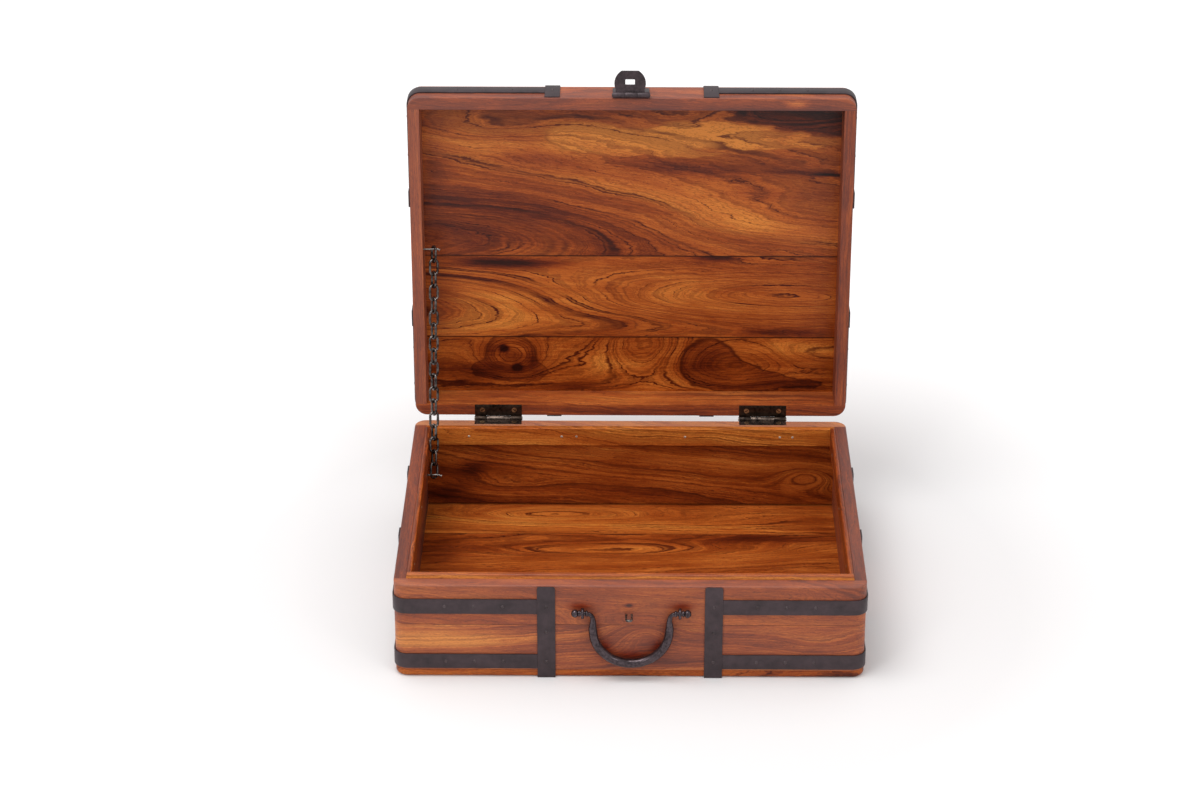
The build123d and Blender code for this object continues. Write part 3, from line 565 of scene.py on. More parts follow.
lid_form = rounded_block(
    Vector((-HALF_WIDTH, -HALF_DEPTH, 0)),
    Vector((HALF_WIDTH, HALF_DEPTH, LID_HEIGHT)),
    CORNER_RADIUS,
    LID_TOP_RADIUS,
    1,
)
UPPER_SEAM = (275.7, 1.3, 1.0)
LOWER_SEAM = (182.0, 1.3, 1.0)
LID_SIDE_AXES = ("Z", "X", "Y")
lid_boards = {
    "lid_panel_front": sheesham(
        "sheesham_lid_upper",
        lean=0.34, rake=0.09, ring=8.0, seed=4.0, sway=18, tone=0.07, contrast=0.6, lines=0.9,
        gloss=0.32, glue_and_shade_lines=(UPPER_SEAM,),
        hills=(
            (-190, 300, 190, 40, -36), (200, 440, 110, 22, -26), (150, 320, 160, 30, 8),
            (-170, 420, 110, 20, 12),
        ),
        eyes=(
            (0.2, 0.4, 0.1, ((-52, 410, 36, 15), (-16, 404, 34, 11), (20, 396, 36, 6), (60, 391, 40, 4))),
            (0.22, 0.35, 0.14, ((52, 414, 34, 11), (100, 412, 50, 13), (170, 404, 70, 8))),
            (-0.34, 0.6, 0.1, ((128, 440, 30, 7), (160, 430, 34, 10), (208, 424, 36, 13))),
        ),
        patches=(
            (0, 408, 80, 15, 0.28), (95, 410, 70, 14, 0.2), (-150, 412, 60, 14, 0.16),
            (-40, 436, 60, 6, -0.12), (-160, 316, 90, 26, -0.26), (-60, 288, 60, 14, -0.14),
            (180, 436, 50, 8, -0.2), (150, 446, 80, 5, -0.3), (20, 376, 120, 8, -0.2),
            (-110, 386, 70, 6, -0.14), (203, 368, 20, 2.0, -0.6), (170, 371, 46, 2.4, -0.2),
            # the dark band at 452 under the top board is a painted shadow cast by that board
            (120, 322, 110, 22, 0.12), (60, 350, 60, 10, 0.06), (-20, 452, 200, 4, -0.16),
            (-205, 366, 14, 30, -0.14),
        ),
    ),
    "lid_panel_middle": sheesham(
        "sheesham_lid_middle",
        lean=0.06, rake=0.05, ring=9.0, seed=7.5, sway=18, tone=0.18, contrast=0.5, lines=1.0,
        gloss=0.26, glue_and_shade_lines=(UPPER_SEAM, LOWER_SEAM),
        hills=((-260, 212, 170, 42, 74), (190, 232, 160, 24, -58), (-20, 196, 100, 16, 12)),
        patches=(
            (-130, 267, 50, 5.5, -0.6), (90, 273, 26, 4, -0.4), (165, 188, 46, 5, -0.3),
            (-205, 220, 20, 30, -0.2), (150, 240, 60, 22, -0.16), (-70, 232, 60, 24, 0.15),
            (90, 230, 60, 9, 0.12), (-150, 200, 50, 12, 0.08),
        ),
    ),
    "lid_panel_back": sheesham(
        "sheesham_lid_lower",
        lean=0.30, rake=-0.02, ring=7.0, seed=1.2, sway=16, tone=0.05, contrast=0.6, lines=0.95,
        gloss=0.12, glue_and_shade_lines=(LOWER_SEAM,),
        hills=(
            (-128, 160, 30, 20, 34), (112, 148, 56, 24, 30), (14, 190, 42, 44, -26),
            (230, 140, 80, 16, 20),
        ),
        eyes=(
            (-0.2, 0.85, 0.0, ((84, 154, 28, 24), (104, 138, 34, 14), (140, 130, 36, 9), (172, 127, 30, 4))),
            (-0.14, 0.6, 0.05, ((-128, 160, 26, 24), (-112, 140, 22, 9), (-148, 142, 20, 8))),
        ),
        patches=(
            (-128, 150, 36, 18, -0.1), (-135, 168, 4.5, 3.6, -0.9), (-121, 147, 4.5, 3.6, -0.9),
            (-175, 134, 30, 14, -0.2), (-150, 166, 8, 12, -0.12), (-104, 158, 6, 14, -0.12),
            (190, 168, 50, 9, 0.32), (-20, 152, 44, 14, 0.2), (28, 126, 26, 10, 0.14),
            (112, 140, 22, 9, 0.12), (185, 124, 30, 6, -0.2), (-198, 160, 22, 10, 0.1),
            (-60, 124, 46, 6, -0.2),
        ),
    ),
    "lid_front": sheesham(
        "sheesham_lid_front",
        lean=0.5, rake=0.02, ring=7.0, seed=2.9, tone=-0.04, contrast=0.5, lines=0.35, dry_and_sheen=0.14,
        # the dark band at 451.6 along the inner edge of the top board is painted shade
        patches=((168, 458, 10, 5, 0.35), (0, 451.6, WHOLE_LENGTH, 4, -0.12)),
    ),
    "lid_back": sheesham(
        "sheesham_lid_back",
        lean=0.6, rake=0.03, ring=6.0, seed=5.8, contrast=0.7, dry_and_sheen=0.04,
        # the band at 119.5 is painted light on the upward inner face of this board
        patches=((0, 119.5, WHOLE_LENGTH, 2.5, 0.3), (0, 110, WHOLE_LENGTH, 5, -0.06)),
    ),
    "lid_side_left": sheesham(
        "sheesham_lid_left",
        axes=LID_SIDE_AXES, lean=0.8, ring=5.5, seed=6.1, tone=0.03, contrast=0.5, dry_and_sheen=0.16,
    ),
    "lid_side_right": sheesham(
        "sheesham_lid_right",
        axes=LID_SIDE_AXES, lean=0.8, ring=6.0, seed=3.8, tone=-0.1, contrast=0.5, dry_and_sheen=0.08,
    ),
}
for node, finish in lid_boards.items():
    board = sawn_board(lid_form, *shut_box(node))
    ease_arrises(board, 0, HALF_WIDTH, HALF_DEPTH)
    keep_flats_flat(make_piece(f"{node}_board", opened(board), finish, "lid", node))

# ---------------------------------------------------------------- inner lips
# Thin strips of the same wood, nailed round the inside of the base so that they stand a little
# above its rim and locate the lid. Above the rim they lean in a little, so that the lid slips
# over them, and their top edges are rounded by hand.
LIP_ROUND = 0.0012
LIP_LEAN = 0.0008
lip_finishes = {
    "lip_front": sheesham(
        "sheesham_lip_front",
        lean=0.6, ring=6.0, seed=7.1, sway=3.0, tone=0.1, contrast=0.6, lines=0.3, dry_and_sheen=0.05,
        # this band is painted light along the proud top of the strip
        patches=((0, 103.2, WHOLE_LENGTH, 1.8, 0.5),),
    ),
    "lip_back": sheesham(
        "sheesham_lip_back",
        lean=0.5, rake=0.05, ring=4.6, seed=4.7, tone=0.27, contrast=0.7, gloss=0.2,
    ),
    "lip_left": sheesham(
        "sheesham_lip_left",
        axes=SIDE_AXES, lean=0.6, ring=5.0, seed=8.8, tone=0.08, contrast=0.6,
    ),
    "lip_right": sheesham(
        "sheesham_lip_right",
        axes=SIDE_AXES, lean=0.6, ring=5.0, seed=2.4, tone=-0.05, contrast=0.6,
    ),
}


def score(shape, axis, *levels):
    """Score lines into a skin at levels along one axis, cutting nothing off."""
    for level in levels:
        bmesh.ops.bisect_plane(
            shape,
            geom=shape.verts[:] + shape.edges[:] + shape.faces[:],
            dist=CUT_SNAP,
            plane_co=axis_vector(axis, level),
            plane_no=axis_vector(axis, 1),
        )


lip_corner = box_of("lip_front", "lip_back")[1]
for node, finish in lip_finishes.items():
    low, high = box_of(node)
    lip = bmesh.new()
    add_block(lip, low, high)
    score(lip, 2, BASE_RIM)
    for axis in (0, 1):
        for side in BOTH_SIDES:
            outer = [v for v in lip.verts if abs(side * v.co[axis] - lip_corner[axis]) < 10 * TOUCH]
            proud = [v for v in outer if v.co.z > BASE_RIM + TOUCH]
            bmesh.ops.translate(lip, verts=proud, vec=axis_vector(axis, -side * LIP_LEAN))
    top_edges = [e for e in lip.edges if all(v.co.z > high.z - TOUCH for v in e.verts)]
    round_over(lip, top_edges, LIP_ROUND, segments=4)
    keep_flats_flat(make_piece(f"{node}_strip", lip, finish, "base", node))

# ---------------------------------------------------------------- iron straps and corner bands
# Flat mild-steel strip, blackened in oil: upright straps on the four walls, bands bent round the
# corners between them, and straps that run over the lid. All are nailed on cold.
STRIP_THICKNESS = 0.0015
STRIP_EASE = 0.00035
STRAP_HALF = 0.00875
LID_STRAP_HALF = 0.00775
STRAP_TOP_ROUND = 0.0025
STRAP_RETURN = 0.045
LID_RIM_GAP = 0.001
FRONT_STRAP_X = 0.081
SIDE_STRAP_Y = 0.0675
LOWER_BAND_HEIGHT = 0.0158
UPPER_BAND_HEIGHT = 0.0161


def blackened_iron(name, light, dark, dullness):
    """Iron blackened in oil: nearly even, with faint scale, rubbed spots and hammer ripple."""
    material = bpy.data.materials.new(name)
    material.use_nodes = True
    tree = material.node_tree
    shader = tree.nodes["Principled BSDF"]
    place = tree.nodes.new("ShaderNodeTexCoord").outputs["Object"]
    scale_marks = grainy(tree, place, 4.0, 0.6, 140.0)
    rubbed = grainy(tree, place, 3.0, 0.6, 38.0)
    scale_share = calc(tree, "MULTIPLY", scale_marks, 0.45)
    rubbed_share = calc(tree, "MULTIPLY", rubbed, 0.55)
    mixed = calc(tree, "ADD", scale_share, rubbed_share)
    colour = ramp(tree, mixed, (0.36, paint(*dark)), (0.62, paint(*light)))
    tree.links.new(colour, shader.inputs["Base Color"])
    roughness = calc(tree, "MULTIPLY_ADD", scale_marks, 0.22, dullness - 0.06)
    tree.links.new(roughness, shader.inputs["Roughness"])
    shader.inputs["Metallic"].default_value = 0.35
    relief = tree.nodes.new("ShaderNodeBump")
    relief.inputs["Strength"].default_value = 0.25
    relief.inputs["Distance"].default_value = 0.00025
    tree.links.new(mixed, relief.inputs["Height"])
    tree.links.new(relief.outputs[0], shader.inputs["Normal"])
    return material


iron = blackened_iron("blackened_iron", (68, 54, 58), (46, 36, 39), 0.42)


def strip_from_skin(form, cuts, keep):
    """Sheet-metal strips laid on a form: its skin, scored, thinned out and given thickness."""
    skin = form.copy()
    for axis, levels in enumerate(cuts):
        score(skin, axis, *levels)
    waste = [face for face in skin.faces if not keep(face.calc_center_median(), face.normal)]
    bmesh.ops.delete(skin, geom=waste, context="FACES")
    skin.normal_update()
    bmesh.ops.solidify(skin, geom=skin.faces[:], thickness=-STRIP_THICKNESS)
    bmesh.ops.recalc_face_normals(skin, faces=skin.faces)
    round_over(skin, sharp_edges(skin, 60), STRIP_EASE, segments=2)
    return skin


band_low, band_high = box_of("base_corner_bands")
LOWER_BAND = (band_low.z, band_low.z + LOWER_BAND_HEIGHT)
UPPER_BAND = (band_high.z - UPPER_BAND_HEIGHT, band_high.z)
BAND_X = FRONT_STRAP_X + STRAP_HALF
BAND_Y = SIDE_STRAP_Y + STRAP_HALF


def on_base_bands(centre, normal):
    """Whether a face of the base's skin lies under one of its corner bands."""
    level = any(low < centre.z < high for low, high in (LOWER_BAND, UPPER_BAND))
    return level and abs(normal.z) < 0.5 and abs(centre.x) > BAND_X and abs(centre.y) > BAND_Y


base_bands = strip_from_skin(
    base_form, ((-BAND_X, BAND_X), (-BAND_Y, BAND_Y), LOWER_BAND + UPPER_BAND), on_base_bands
)
make_piece("base_corner_bands_iron", base_bands, iron, "base", "base_corner_bands")

base_straps = bmesh.new()
STRAP_TOP = box_of("base_straps")[1].z
for across in BOTH_SIDES:
    for outward in BOTH_SIDES:
        for along_x in (True, False):
            run = FRONT_STRAP_X if along_x else SIDE_STRAP_Y
            reach = (HALF_DEPTH if along_x else HALF_WIDTH) + STRIP_THICKNESS / 2
            size = Vector((2 * STRAP_HALF, STRIP_THICKNESS, STRAP_TOP))
            centre = Vector((across * run, outward * reach, STRAP_TOP / 2))
            if not along_x:
                size = Vector((size.y, size.x, size.z))
                centre = Vector((centre.y, centre.x, centre.z))
            add_block(base_straps, centre - size / 2, centre + size / 2)
top_corners = [
    e for e in base_straps.edges
    if all(v.co.z > STRAP_TOP - TOUCH for v in e.verts) and e.calc_length() < 2 * STRIP_THICKNESS
]
round_over(base_straps, top_corners, STRAP_TOP_ROUND, segments=4)
round_over(base_straps, sharp_edges(base_straps, 60), STRIP_EASE, segments=2)
make_piece("base_straps_iron", base_straps, iron, "base", "base_straps")

LID_BAND = (0.0125, 0.028)
LID_STRAP_SPAN = (FRONT_STRAP_X - LID_STRAP_HALF, FRONT_STRAP_X + LID_STRAP_HALF)
SIDE_STRAP_SPAN = (SIDE_STRAP_Y - STRAP_HALF, SIDE_STRAP_Y + STRAP_HALF)
RETURN_X = HALF_WIDTH - STRAP_RETURN
LID_BAND_X = FRONT_STRAP_X + LID_STRAP_HALF


def on_lid_bands(centre, normal):
    """Whether a face of the lid's skin lies under one of its corner bands."""
    level = LID_BAND[0] < centre.z < LID_BAND[1]
    return level and abs(centre.x) > LID_BAND_X and abs(centre.y) > BAND_Y


def on_cross_straps(centre, normal):
    """Whether a face of the lid's skin lies under a strap that runs from front to back."""
    across = LID_STRAP_SPAN[0] < abs(centre.x) < LID_STRAP_SPAN[1]
    return across and centre.z > LID_RIM_GAP and normal.z > -0.5


def on_side_straps(centre, normal):
    """Whether a face of the lid's skin lies under a short strap that is bent over its end."""
    across = SIDE_STRAP_SPAN[0] < abs(centre.y) < SIDE_STRAP_SPAN[1]
    return across and abs(centre.x) > RETURN_X and centre.z > LID_RIM_GAP and normal.z > -0.5


lid_bands = strip_from_skin(lid_form, ((-LID_BAND_X, LID_BAND_X), (-BAND_Y, BAND_Y), LID_BAND), on_lid_bands)
cross_straps = strip_from_skin(
    lid_form,
    ([sign * x for sign in BOTH_SIDES for x in LID_STRAP_SPAN], (), (LID_RIM_GAP,)),
    on_cross_straps,
)
side_straps = strip_from_skin(
    lid_form,
    ((-RETURN_X, RETURN_X), [sign * y for sign in BOTH_SIDES for y in SIDE_STRAP_SPAN], (LID_RIM_GAP,)),
    on_side_straps,
)
for node, strips in (
    ("lid_corner_bands", lid_bands),
    ("lid_cross_straps", cross_straps),
    ("lid_side_straps", side_straps),
):
    make_piece(f"{node}_iron", opened(strips), iron, "lid", node)

# ---------------------------------------------------------------- strap and lip nails
# Round-headed nails hold the straps and bands, and small bright brads hold the inner lips. They
# are driven cold and keep their hammered skin.


def bright_metal(name, light, dark, metallic, roughness, grime=0.5, fineness=300.0):
    """Handled metal: rubbed bright in places and dull with old oil in others."""
    material = bpy.data.materials.new(name)
    material.use_nodes = True
    tree = material.node_tree
    shader = tree.nodes["Principled BSDF"]
    place = tree.nodes.new("ShaderNodeTexCoord").outputs["Object"]
    rubbed = grainy(tree, place, 3.0, 0.65, fineness)
    oil = grainy(tree, place, 2.0, 0.5, fineness / 4)
    wear = calc(tree, "ADD", calc(tree, "MULTIPLY", rubbed, 0.6), calc(tree, "MULTIPLY", oil, 0.4))
    colour = ramp(tree, wear, (grime - 0.14, paint(*dark)), (grime + 0.1, paint(*light)))
    tree.links.new(colour, shader.inputs["Base Color"])
    tree.links.new(calc(tree, "MULTIPLY_ADD", oil, 0.3, roughness - 0.15), shader.inputs["Roughness"])
    shader.inputs["Metallic"].default_value = metallic
    relief = tree.nodes.new("ShaderNodeBump")
    relief.inputs["Strength"].default_value = 0.2
    relief.inputs["Distance"].default_value = 0.0002
    tree.links.new(rubbed, relief.inputs["Height"])
    tree.links.new(relief.outputs[0], shader.inputs["Normal"])
    return material


def finish_nodes(material, *nodes):
    """Give CAD pieces that keep their own shape a finish."""
    for node in nodes:
        for material_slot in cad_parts[node].material_slots:
            material_slot.material = material


nail_iron = bright_metal("nail_iron", (80, 68, 70), (46, 38, 39), 0.5, 0.42)
brad_steel = bright_metal("brad_steel", (222, 208, 190), (104, 84, 68), 0.6, 0.36)
finish_nodes(nail_iron, "base_strap_nails", "lid_strap_nails", "hasp_nails")
finish_nodes(brad_steel, "lip_nails")

# ---------------------------------------------------------------- lid hinges
# Two small butt hinges of dark bronze, their leaves let into the rims of base and lid. The middle
# knuckle is part of the base leaf, the outer two of the lid leaf, and a headed pin runs through.
LEAF_THICKNESS = 0.0014
LEAF_EASE = 0.0002
HINGE_WIDTH = 0.050
HINGE_X = 0.1405
BARREL_RADIUS = 0.003
MIDDLE_KNUCKLE = 0.0125
KNUCKLE_EASE = 0.00035
KNUCKLE_GAP = 0.0001
KNUCKLE_TUCK = 0.001
BASE_SCREW_INSET = 0.0084
LID_SCREW_RISE = 0.0097
SCREW_SPREAD = 0.017
SCREW_HEAD_RADIUS = 0.0027
SCREW_HEAD_DEPTH = 0.001
SCREW_PROUD = 0.00008
SLOT_WIDTH = 0.0008
SLOT_DEPTH = 0.0006
PIN_HEAD_RADIUS = 0.0019
PIN_EASE = 0.0005
PIN_OVERHANG = 0.0008
bronze = bright_metal("dark_bronze", (66, 52, 42), (25, 18, 14), 0.75, 0.32)
rubbed_bronze = bright_metal("rubbed_bronze", (116, 100, 90), (40, 32, 29), 0.85, 0.24)
screw_brass = bright_metal("screw_brass", (172, 140, 104), (92, 68, 46), 0.8, 0.32)
pin_steel = bright_metal("pin_steel", (210, 204, 196), (120, 112, 104), 0.85, 0.25)


def turn_about(shape, verts, degrees, axis):
    """Turn part of a shape about an axis through the origin."""
    matrix = Matrix.Rotation(math.radians(degrees), 3, axis)
    bmesh.ops.rotate(shape, verts=verts, cent=(0, 0, 0), matrix=matrix)


def stand_along(shape, verts, direction):
    """Turn part of a shape so that what pointed up points along a direction."""
    matrix = Vector(direction).to_track_quat("Z", "Y").to_matrix()
    bmesh.ops.rotate(shape, verts=verts, cent=(0, 0, 0), matrix=matrix)


def verts_of(items):
    """The vertices among what an operator gives back."""
    return [item for item in items if isinstance(item, bmesh.types.BMVert)]


def pour_in(shape, part):
    """Add a finished part to a shape."""
    loose = bpy.data.meshes.new("loose_part")
    part.to_mesh(loose)
    part.free()
    shape.from_mesh(loose)
    bpy.data.meshes.remove(loose)


def add_rod(shape, start, end, radius, ease, rim_segments=2):
    """A round bar between two points, with its end rims rounded over."""
    start = Vector(start)
    end = Vector(end)
    rod = bmesh.ops.create_cone(
        shape, cap_ends=True, segments=24, radius1=radius, radius2=radius, depth=(end - start).length
    )["verts"]
    stand_along(shape, rod, end - start)
    bmesh.ops.translate(shape, verts=rod, vec=(start + end) / 2)
    rims = {e for vert in rod for e in vert.link_edges if any(len(f.verts) > 4 for f in e.link_faces)}
    round_over(shape, list(rims), ease, rim_segments)


def add_pin(shape, left, right, y, z):
    """A pin through a row of knuckles, its heads standing out at both ends."""
    start = (left - PIN_OVERHANG, y, z)
    end = (right + PIN_OVERHANG, y, z)
    add_rod(shape, start, end, PIN_HEAD_RADIUS, PIN_EASE, rim_segments=3)


def add_plate(shape, low, high, ease=LEAF_EASE):
    """A sheet-metal plate with eased edges."""
    plate = add_block(shape, Vector(low), Vector(high))
    edges = list({edge for vert in plate for edge in vert.link_edges})
    round_over(shape, edges, ease, segments=2)


def add_screw(shape, centre, normal, slot_turn):
    """A flat countersunk screw head with a sawn slot, seen from above its leaf."""
    head = bmesh.new()
    bmesh.ops.create_circle(head, cap_ends=True, segments=28, radius=SCREW_HEAD_RADIUS)
    for axis, half in ((0, SLOT_WIDTH / 2), (1, SCREW_HEAD_RADIUS * 0.8)):
        score(head, axis, -half, half)
    bmesh.ops.solidify(head, geom=head.faces[:], thickness=SCREW_HEAD_DEPTH)
    bmesh.ops.recalc_face_normals(head, faces=head.faces)
    top = max(vert.co.z for vert in head.verts)
    slot_faces = [
        face for face in head.faces
        if face.normal.z > 0.9 and max(abs(vert.co.x) for vert in face.verts) < SLOT_WIDTH
        and max(abs(vert.co.y) for vert in face.verts) < SCREW_HEAD_RADIUS * 0.9
    ]
    sunk = verts_of(bmesh.ops.extrude_face_region(head, geom=slot_faces)["geom"])
    bmesh.ops.translate(head, verts=sunk, vec=(0, 0, -SLOT_DEPTH))
    bmesh.ops.delete(head, geom=[face for face in slot_faces if face.is_valid], context="FACES_ONLY")
    bmesh.ops.translate(head, verts=head.verts, vec=(0, 0, -top))
    turn_about(head, head.verts, slot_turn, "Z")
    stand_along(head, head.verts, normal)
    bmesh.ops.translate(head, verts=head.verts, vec=centre)
    pour_in(shape, head)


pin_low, pin_high = box_of("hinge_pins")
HINGE_Y = (pin_low.y + pin_high.y) / 2
HINGE_Z = (pin_low.z + pin_high.z) / 2
BASE_LEAF_FRONT = box_of("hinge_base_leaves")[0].y
BASE_LEAF_TOP = box_of("hinge_base_screws")[1].z
LID_LEAF_TOP = box_of("hinge_lid_leaves")[1].z
LID_LEAF_FRONT = box_of("hinge_lid_screws")[0].y
KNUCKLE_REACH = BARREL_RADIUS + 2 * KNUCKLE_GAP
base_leaves = bmesh.new()
lid_leaves = bmesh.new()
base_screws = bmesh.new()
lid_screws = bmesh.new()
hinge_pins = bmesh.new()
for hinge_x in (-HINGE_X, HINGE_X):
    left = hinge_x - HINGE_WIDTH / 2
    right = hinge_x + HINGE_WIDTH / 2
    middle_left = hinge_x - MIDDLE_KNUCKLE
    middle_right = hinge_x + MIDDLE_KNUCKLE
    add_plate(
        base_leaves,
        (left, BASE_LEAF_FRONT, BASE_LEAF_TOP - LEAF_THICKNESS),
        (right, HINGE_Y - KNUCKLE_REACH, BASE_LEAF_TOP),
    )
    add_plate(
        base_leaves,
        (middle_left, HINGE_Y - KNUCKLE_REACH - KNUCKLE_TUCK, BASE_LEAF_TOP - LEAF_THICKNESS),
        (middle_right, HINGE_Y - KNUCKLE_TUCK, BASE_LEAF_TOP),
    )
    add_rod(
        base_leaves,
        (middle_left, HINGE_Y, HINGE_Z),
        (middle_right, HINGE_Y, HINGE_Z),
        BARREL_RADIUS,
        KNUCKLE_EASE,
    )
    add_plate(
        lid_leaves,
        (left, LID_LEAF_FRONT, HINGE_Z + KNUCKLE_REACH),
        (right, LID_LEAF_FRONT + LEAF_THICKNESS, LID_LEAF_TOP),
    )
    for start, end in ((left, middle_left - KNUCKLE_GAP), (middle_right + KNUCKLE_GAP, right)):
        add_rod(lid_leaves, (start, HINGE_Y, HINGE_Z), (end, HINGE_Y, HINGE_Z), BARREL_RADIUS, KNUCKLE_EASE)
        add_plate(
            lid_leaves,
            (start, LID_LEAF_FRONT, HINGE_Z + KNUCKLE_TUCK),
            (end, LID_LEAF_FRONT + LEAF_THICKNESS, HINGE_Z + KNUCKLE_REACH + KNUCKLE_TUCK),
        )
    for side in BOTH_SIDES:
        screw_x = hinge_x + side * SCREW_SPREAD
        base_screw = (screw_x, HINGE_Y - BASE_SCREW_INSET, BASE_LEAF_TOP + SCREW_PROUD)
        lid_screw = (screw_x, LID_LEAF_FRONT - SCREW_PROUD, HINGE_Z + LID_SCREW_RISE)
        add_screw(base_screws, base_screw, (0, 0, 1), math.degrees(0.5 + side))
        add_screw(lid_screws, lid_screw, (0, -1, 0), math.degrees(0.9 * side))
    add_pin(hinge_pins, left, right, HINGE_Y, HINGE_Z)
for name, shape, metal, body, node in (
    ("hinge_base_leaf_plates", base_leaves, rubbed_bronze, "base", "hinge_base_leaves"),
    ("hinge_lid_leaf_plates", lid_leaves, bronze, "lid", "hinge_lid_leaves"),
    ("hinge_base_screw_heads", base_screws, screw_brass, "base", "hinge_base_screws"),
    ("hinge_lid_screw_heads", lid_screws, screw_brass, "lid", "hinge_lid_screws"),
    ("hinge_pin_rods", hinge_pins, pin_steel, "base", "hinge_pins"),
):
    make_piece(name, shape, metal, body, node)

# ---------------------------------------------------------------- hasp
# A blackened iron hasp: a nailed leaf with the middle knuckle on the lid's front, and a slotted
# round plate with its top cut flat that swings on a pin through the two outer knuckles.
HASP_X = -0.0008
HASP_HALF = 0.01875
HASP_KNUCKLE = 0.00625
HASP_RADIUS = 0.0035
HASP_THICKNESS = 0.0015
HASP_LEAF_EASE = 0.0003
HASP_BARREL_EASE = 0.0005
HASP_TUCK = 0.0012
DISC_X = HASP_X - 0.001
DISC_RADIUS = 0.016
DISC_RISE = 0.0124
DISC_TOP = 0.026
DISC_EASE = 0.00035
NECK_RISE = 0.0062
SLOT_RISE = 0.014
SLOT_HALF = (0.0048, 0.0028)
leaf_low, leaf_high = box_of("hasp_leaf")
hasp_low, hasp_high = box_of("hasp_plate")
HASP_Z = hasp_low.z + HASP_RADIUS
HASP_Y = (hasp_low.y + hasp_high.y) / 2
HASP_REACH = HASP_RADIUS + 2 * KNUCKLE_GAP
forged_iron = bright_metal("forged_iron", (68, 56, 60), (44, 35, 38), 0.45, 0.42)

hasp_leaf = bmesh.new()
add_plate(
    hasp_leaf,
    (HASP_X - HASP_HALF, HASP_Y + HASP_REACH, leaf_low.z),
    (HASP_X + HASP_HALF, leaf_high.y, leaf_low.z + HASP_THICKNESS),
    HASP_LEAF_EASE,
)
add_plate(
    hasp_leaf,
    (HASP_X - HASP_KNUCKLE, HASP_Y + KNUCKLE_TUCK, leaf_low.z),
    (HASP_X + HASP_KNUCKLE, HASP_Y + HASP_RADIUS + HASP_TUCK, leaf_low.z + HASP_THICKNESS),
    HASP_LEAF_EASE,
)
add_rod(
    hasp_leaf,
    (HASP_X - HASP_KNUCKLE, HASP_Y, HASP_Z),
    (HASP_X + HASP_KNUCKLE, HASP_Y, HASP_Z),
    HASP_RADIUS,
    HASP_BARREL_EASE,
)
make_piece("hasp_fixed_leaf", hasp_leaf, forged_iron, "lid", "hasp_leaf")

# the slotted plate is cut from sheet: a disc, its top cut flat, a neck drawn down, a slot pierced
disc = bmesh.new()
bmesh.ops.create_circle(disc, cap_ends=True, segments=72, radius=DISC_RADIUS)
bmesh.ops.translate(disc, verts=disc.verts, vec=(0, DISC_RISE, 0))
saw(disc, axis_vector(1, DISC_TOP), axis_vector(1, 1), keep_cut_open=True)
saw(disc, axis_vector(1, NECK_RISE), axis_vector(1, -1), keep_cut_open=True)
neck_edge = [e for e in disc.edges if all(abs(v.co.y - NECK_RISE) < TOUCH for v in e.verts)]
drawn = verts_of(bmesh.ops.extrude_edge_only(disc, edges=neck_edge)["geom"])
bmesh.ops.translate(disc, verts=drawn, vec=(0, -NECK_RISE, 0))
relief_left = -HASP_KNUCKLE - KNUCKLE_GAP - (DISC_X - HASP_X)
relief_right = HASP_KNUCKLE + KNUCKLE_GAP - (DISC_X - HASP_X)
score(disc, 0, relief_left, -SLOT_HALF[0], SLOT_HALF[0], relief_right)
score(disc, 1, HASP_REACH, SLOT_RISE - SLOT_HALF[1], SLOT_RISE + SLOT_HALF[1])


def is_pierced(centre):
    """Whether a place on the plate falls in its slot or in the gap for the middle knuckle."""
    in_slot = abs(centre.x) < SLOT_HALF[0] and abs(centre.y - SLOT_RISE) < SLOT_HALF[1]
    in_relief = relief_left < centre.x < relief_right and centre.y < HASP_REACH
    return in_slot or in_relief


waste = [face for face in disc.faces if is_pierced(face.calc_center_median())]
bmesh.ops.delete(disc, geom=waste, context="FACES")
bmesh.ops.solidify(disc, geom=disc.faces[:], thickness=HASP_THICKNESS)
bmesh.ops.recalc_face_normals(disc, faces=disc.faces)
round_over(disc, sharp_edges(disc, 60), DISC_EASE, segments=2)
middle_level = sum(v.co.z for v in disc.verts) / len(disc.verts)
bmesh.ops.translate(disc, verts=disc.verts, vec=(0, 0, -middle_level))
turn_about(disc, disc.verts, 90, "X")
bmesh.ops.translate(disc, verts=disc.verts, vec=(DISC_X, HASP_Y, HASP_Z))
for start, end in (
    (HASP_X - HASP_HALF, HASP_X - HASP_KNUCKLE - KNUCKLE_GAP),
    (HASP_X + HASP_KNUCKLE + KNUCKLE_GAP, HASP_X + HASP_HALF),
):
    add_rod(disc, (start, HASP_Y, HASP_Z), (end, HASP_Y, HASP_Z), HASP_RADIUS, HASP_BARREL_EASE)
make_piece("hasp_slotted_plate", disc, forged_iron, "hasp", "hasp_plate")

hasp_pin = bmesh.new()
add_pin(hasp_pin, HASP_X - HASP_HALF, HASP_X + HASP_HALF, HASP_Y, HASP_Z)
make_piece("hasp_pin_rod", hasp_pin, nail_iron, "lid", "hasp_pin")

# ---------------------------------------------------------------- lock staple
# A short staple of iron wire, driven level into the front board below the hasp to take a lock. It has
# one bright steel finish all over, and its wire is a little thicker at the bend.
STAPLE_WIRE = 0.0011
STAPLE_BEND_WIRE = STAPLE_WIRE * 1.25
STAPLE_SHOULDER = 0.004
STAPLE_BEND = (0.72, 0.3)


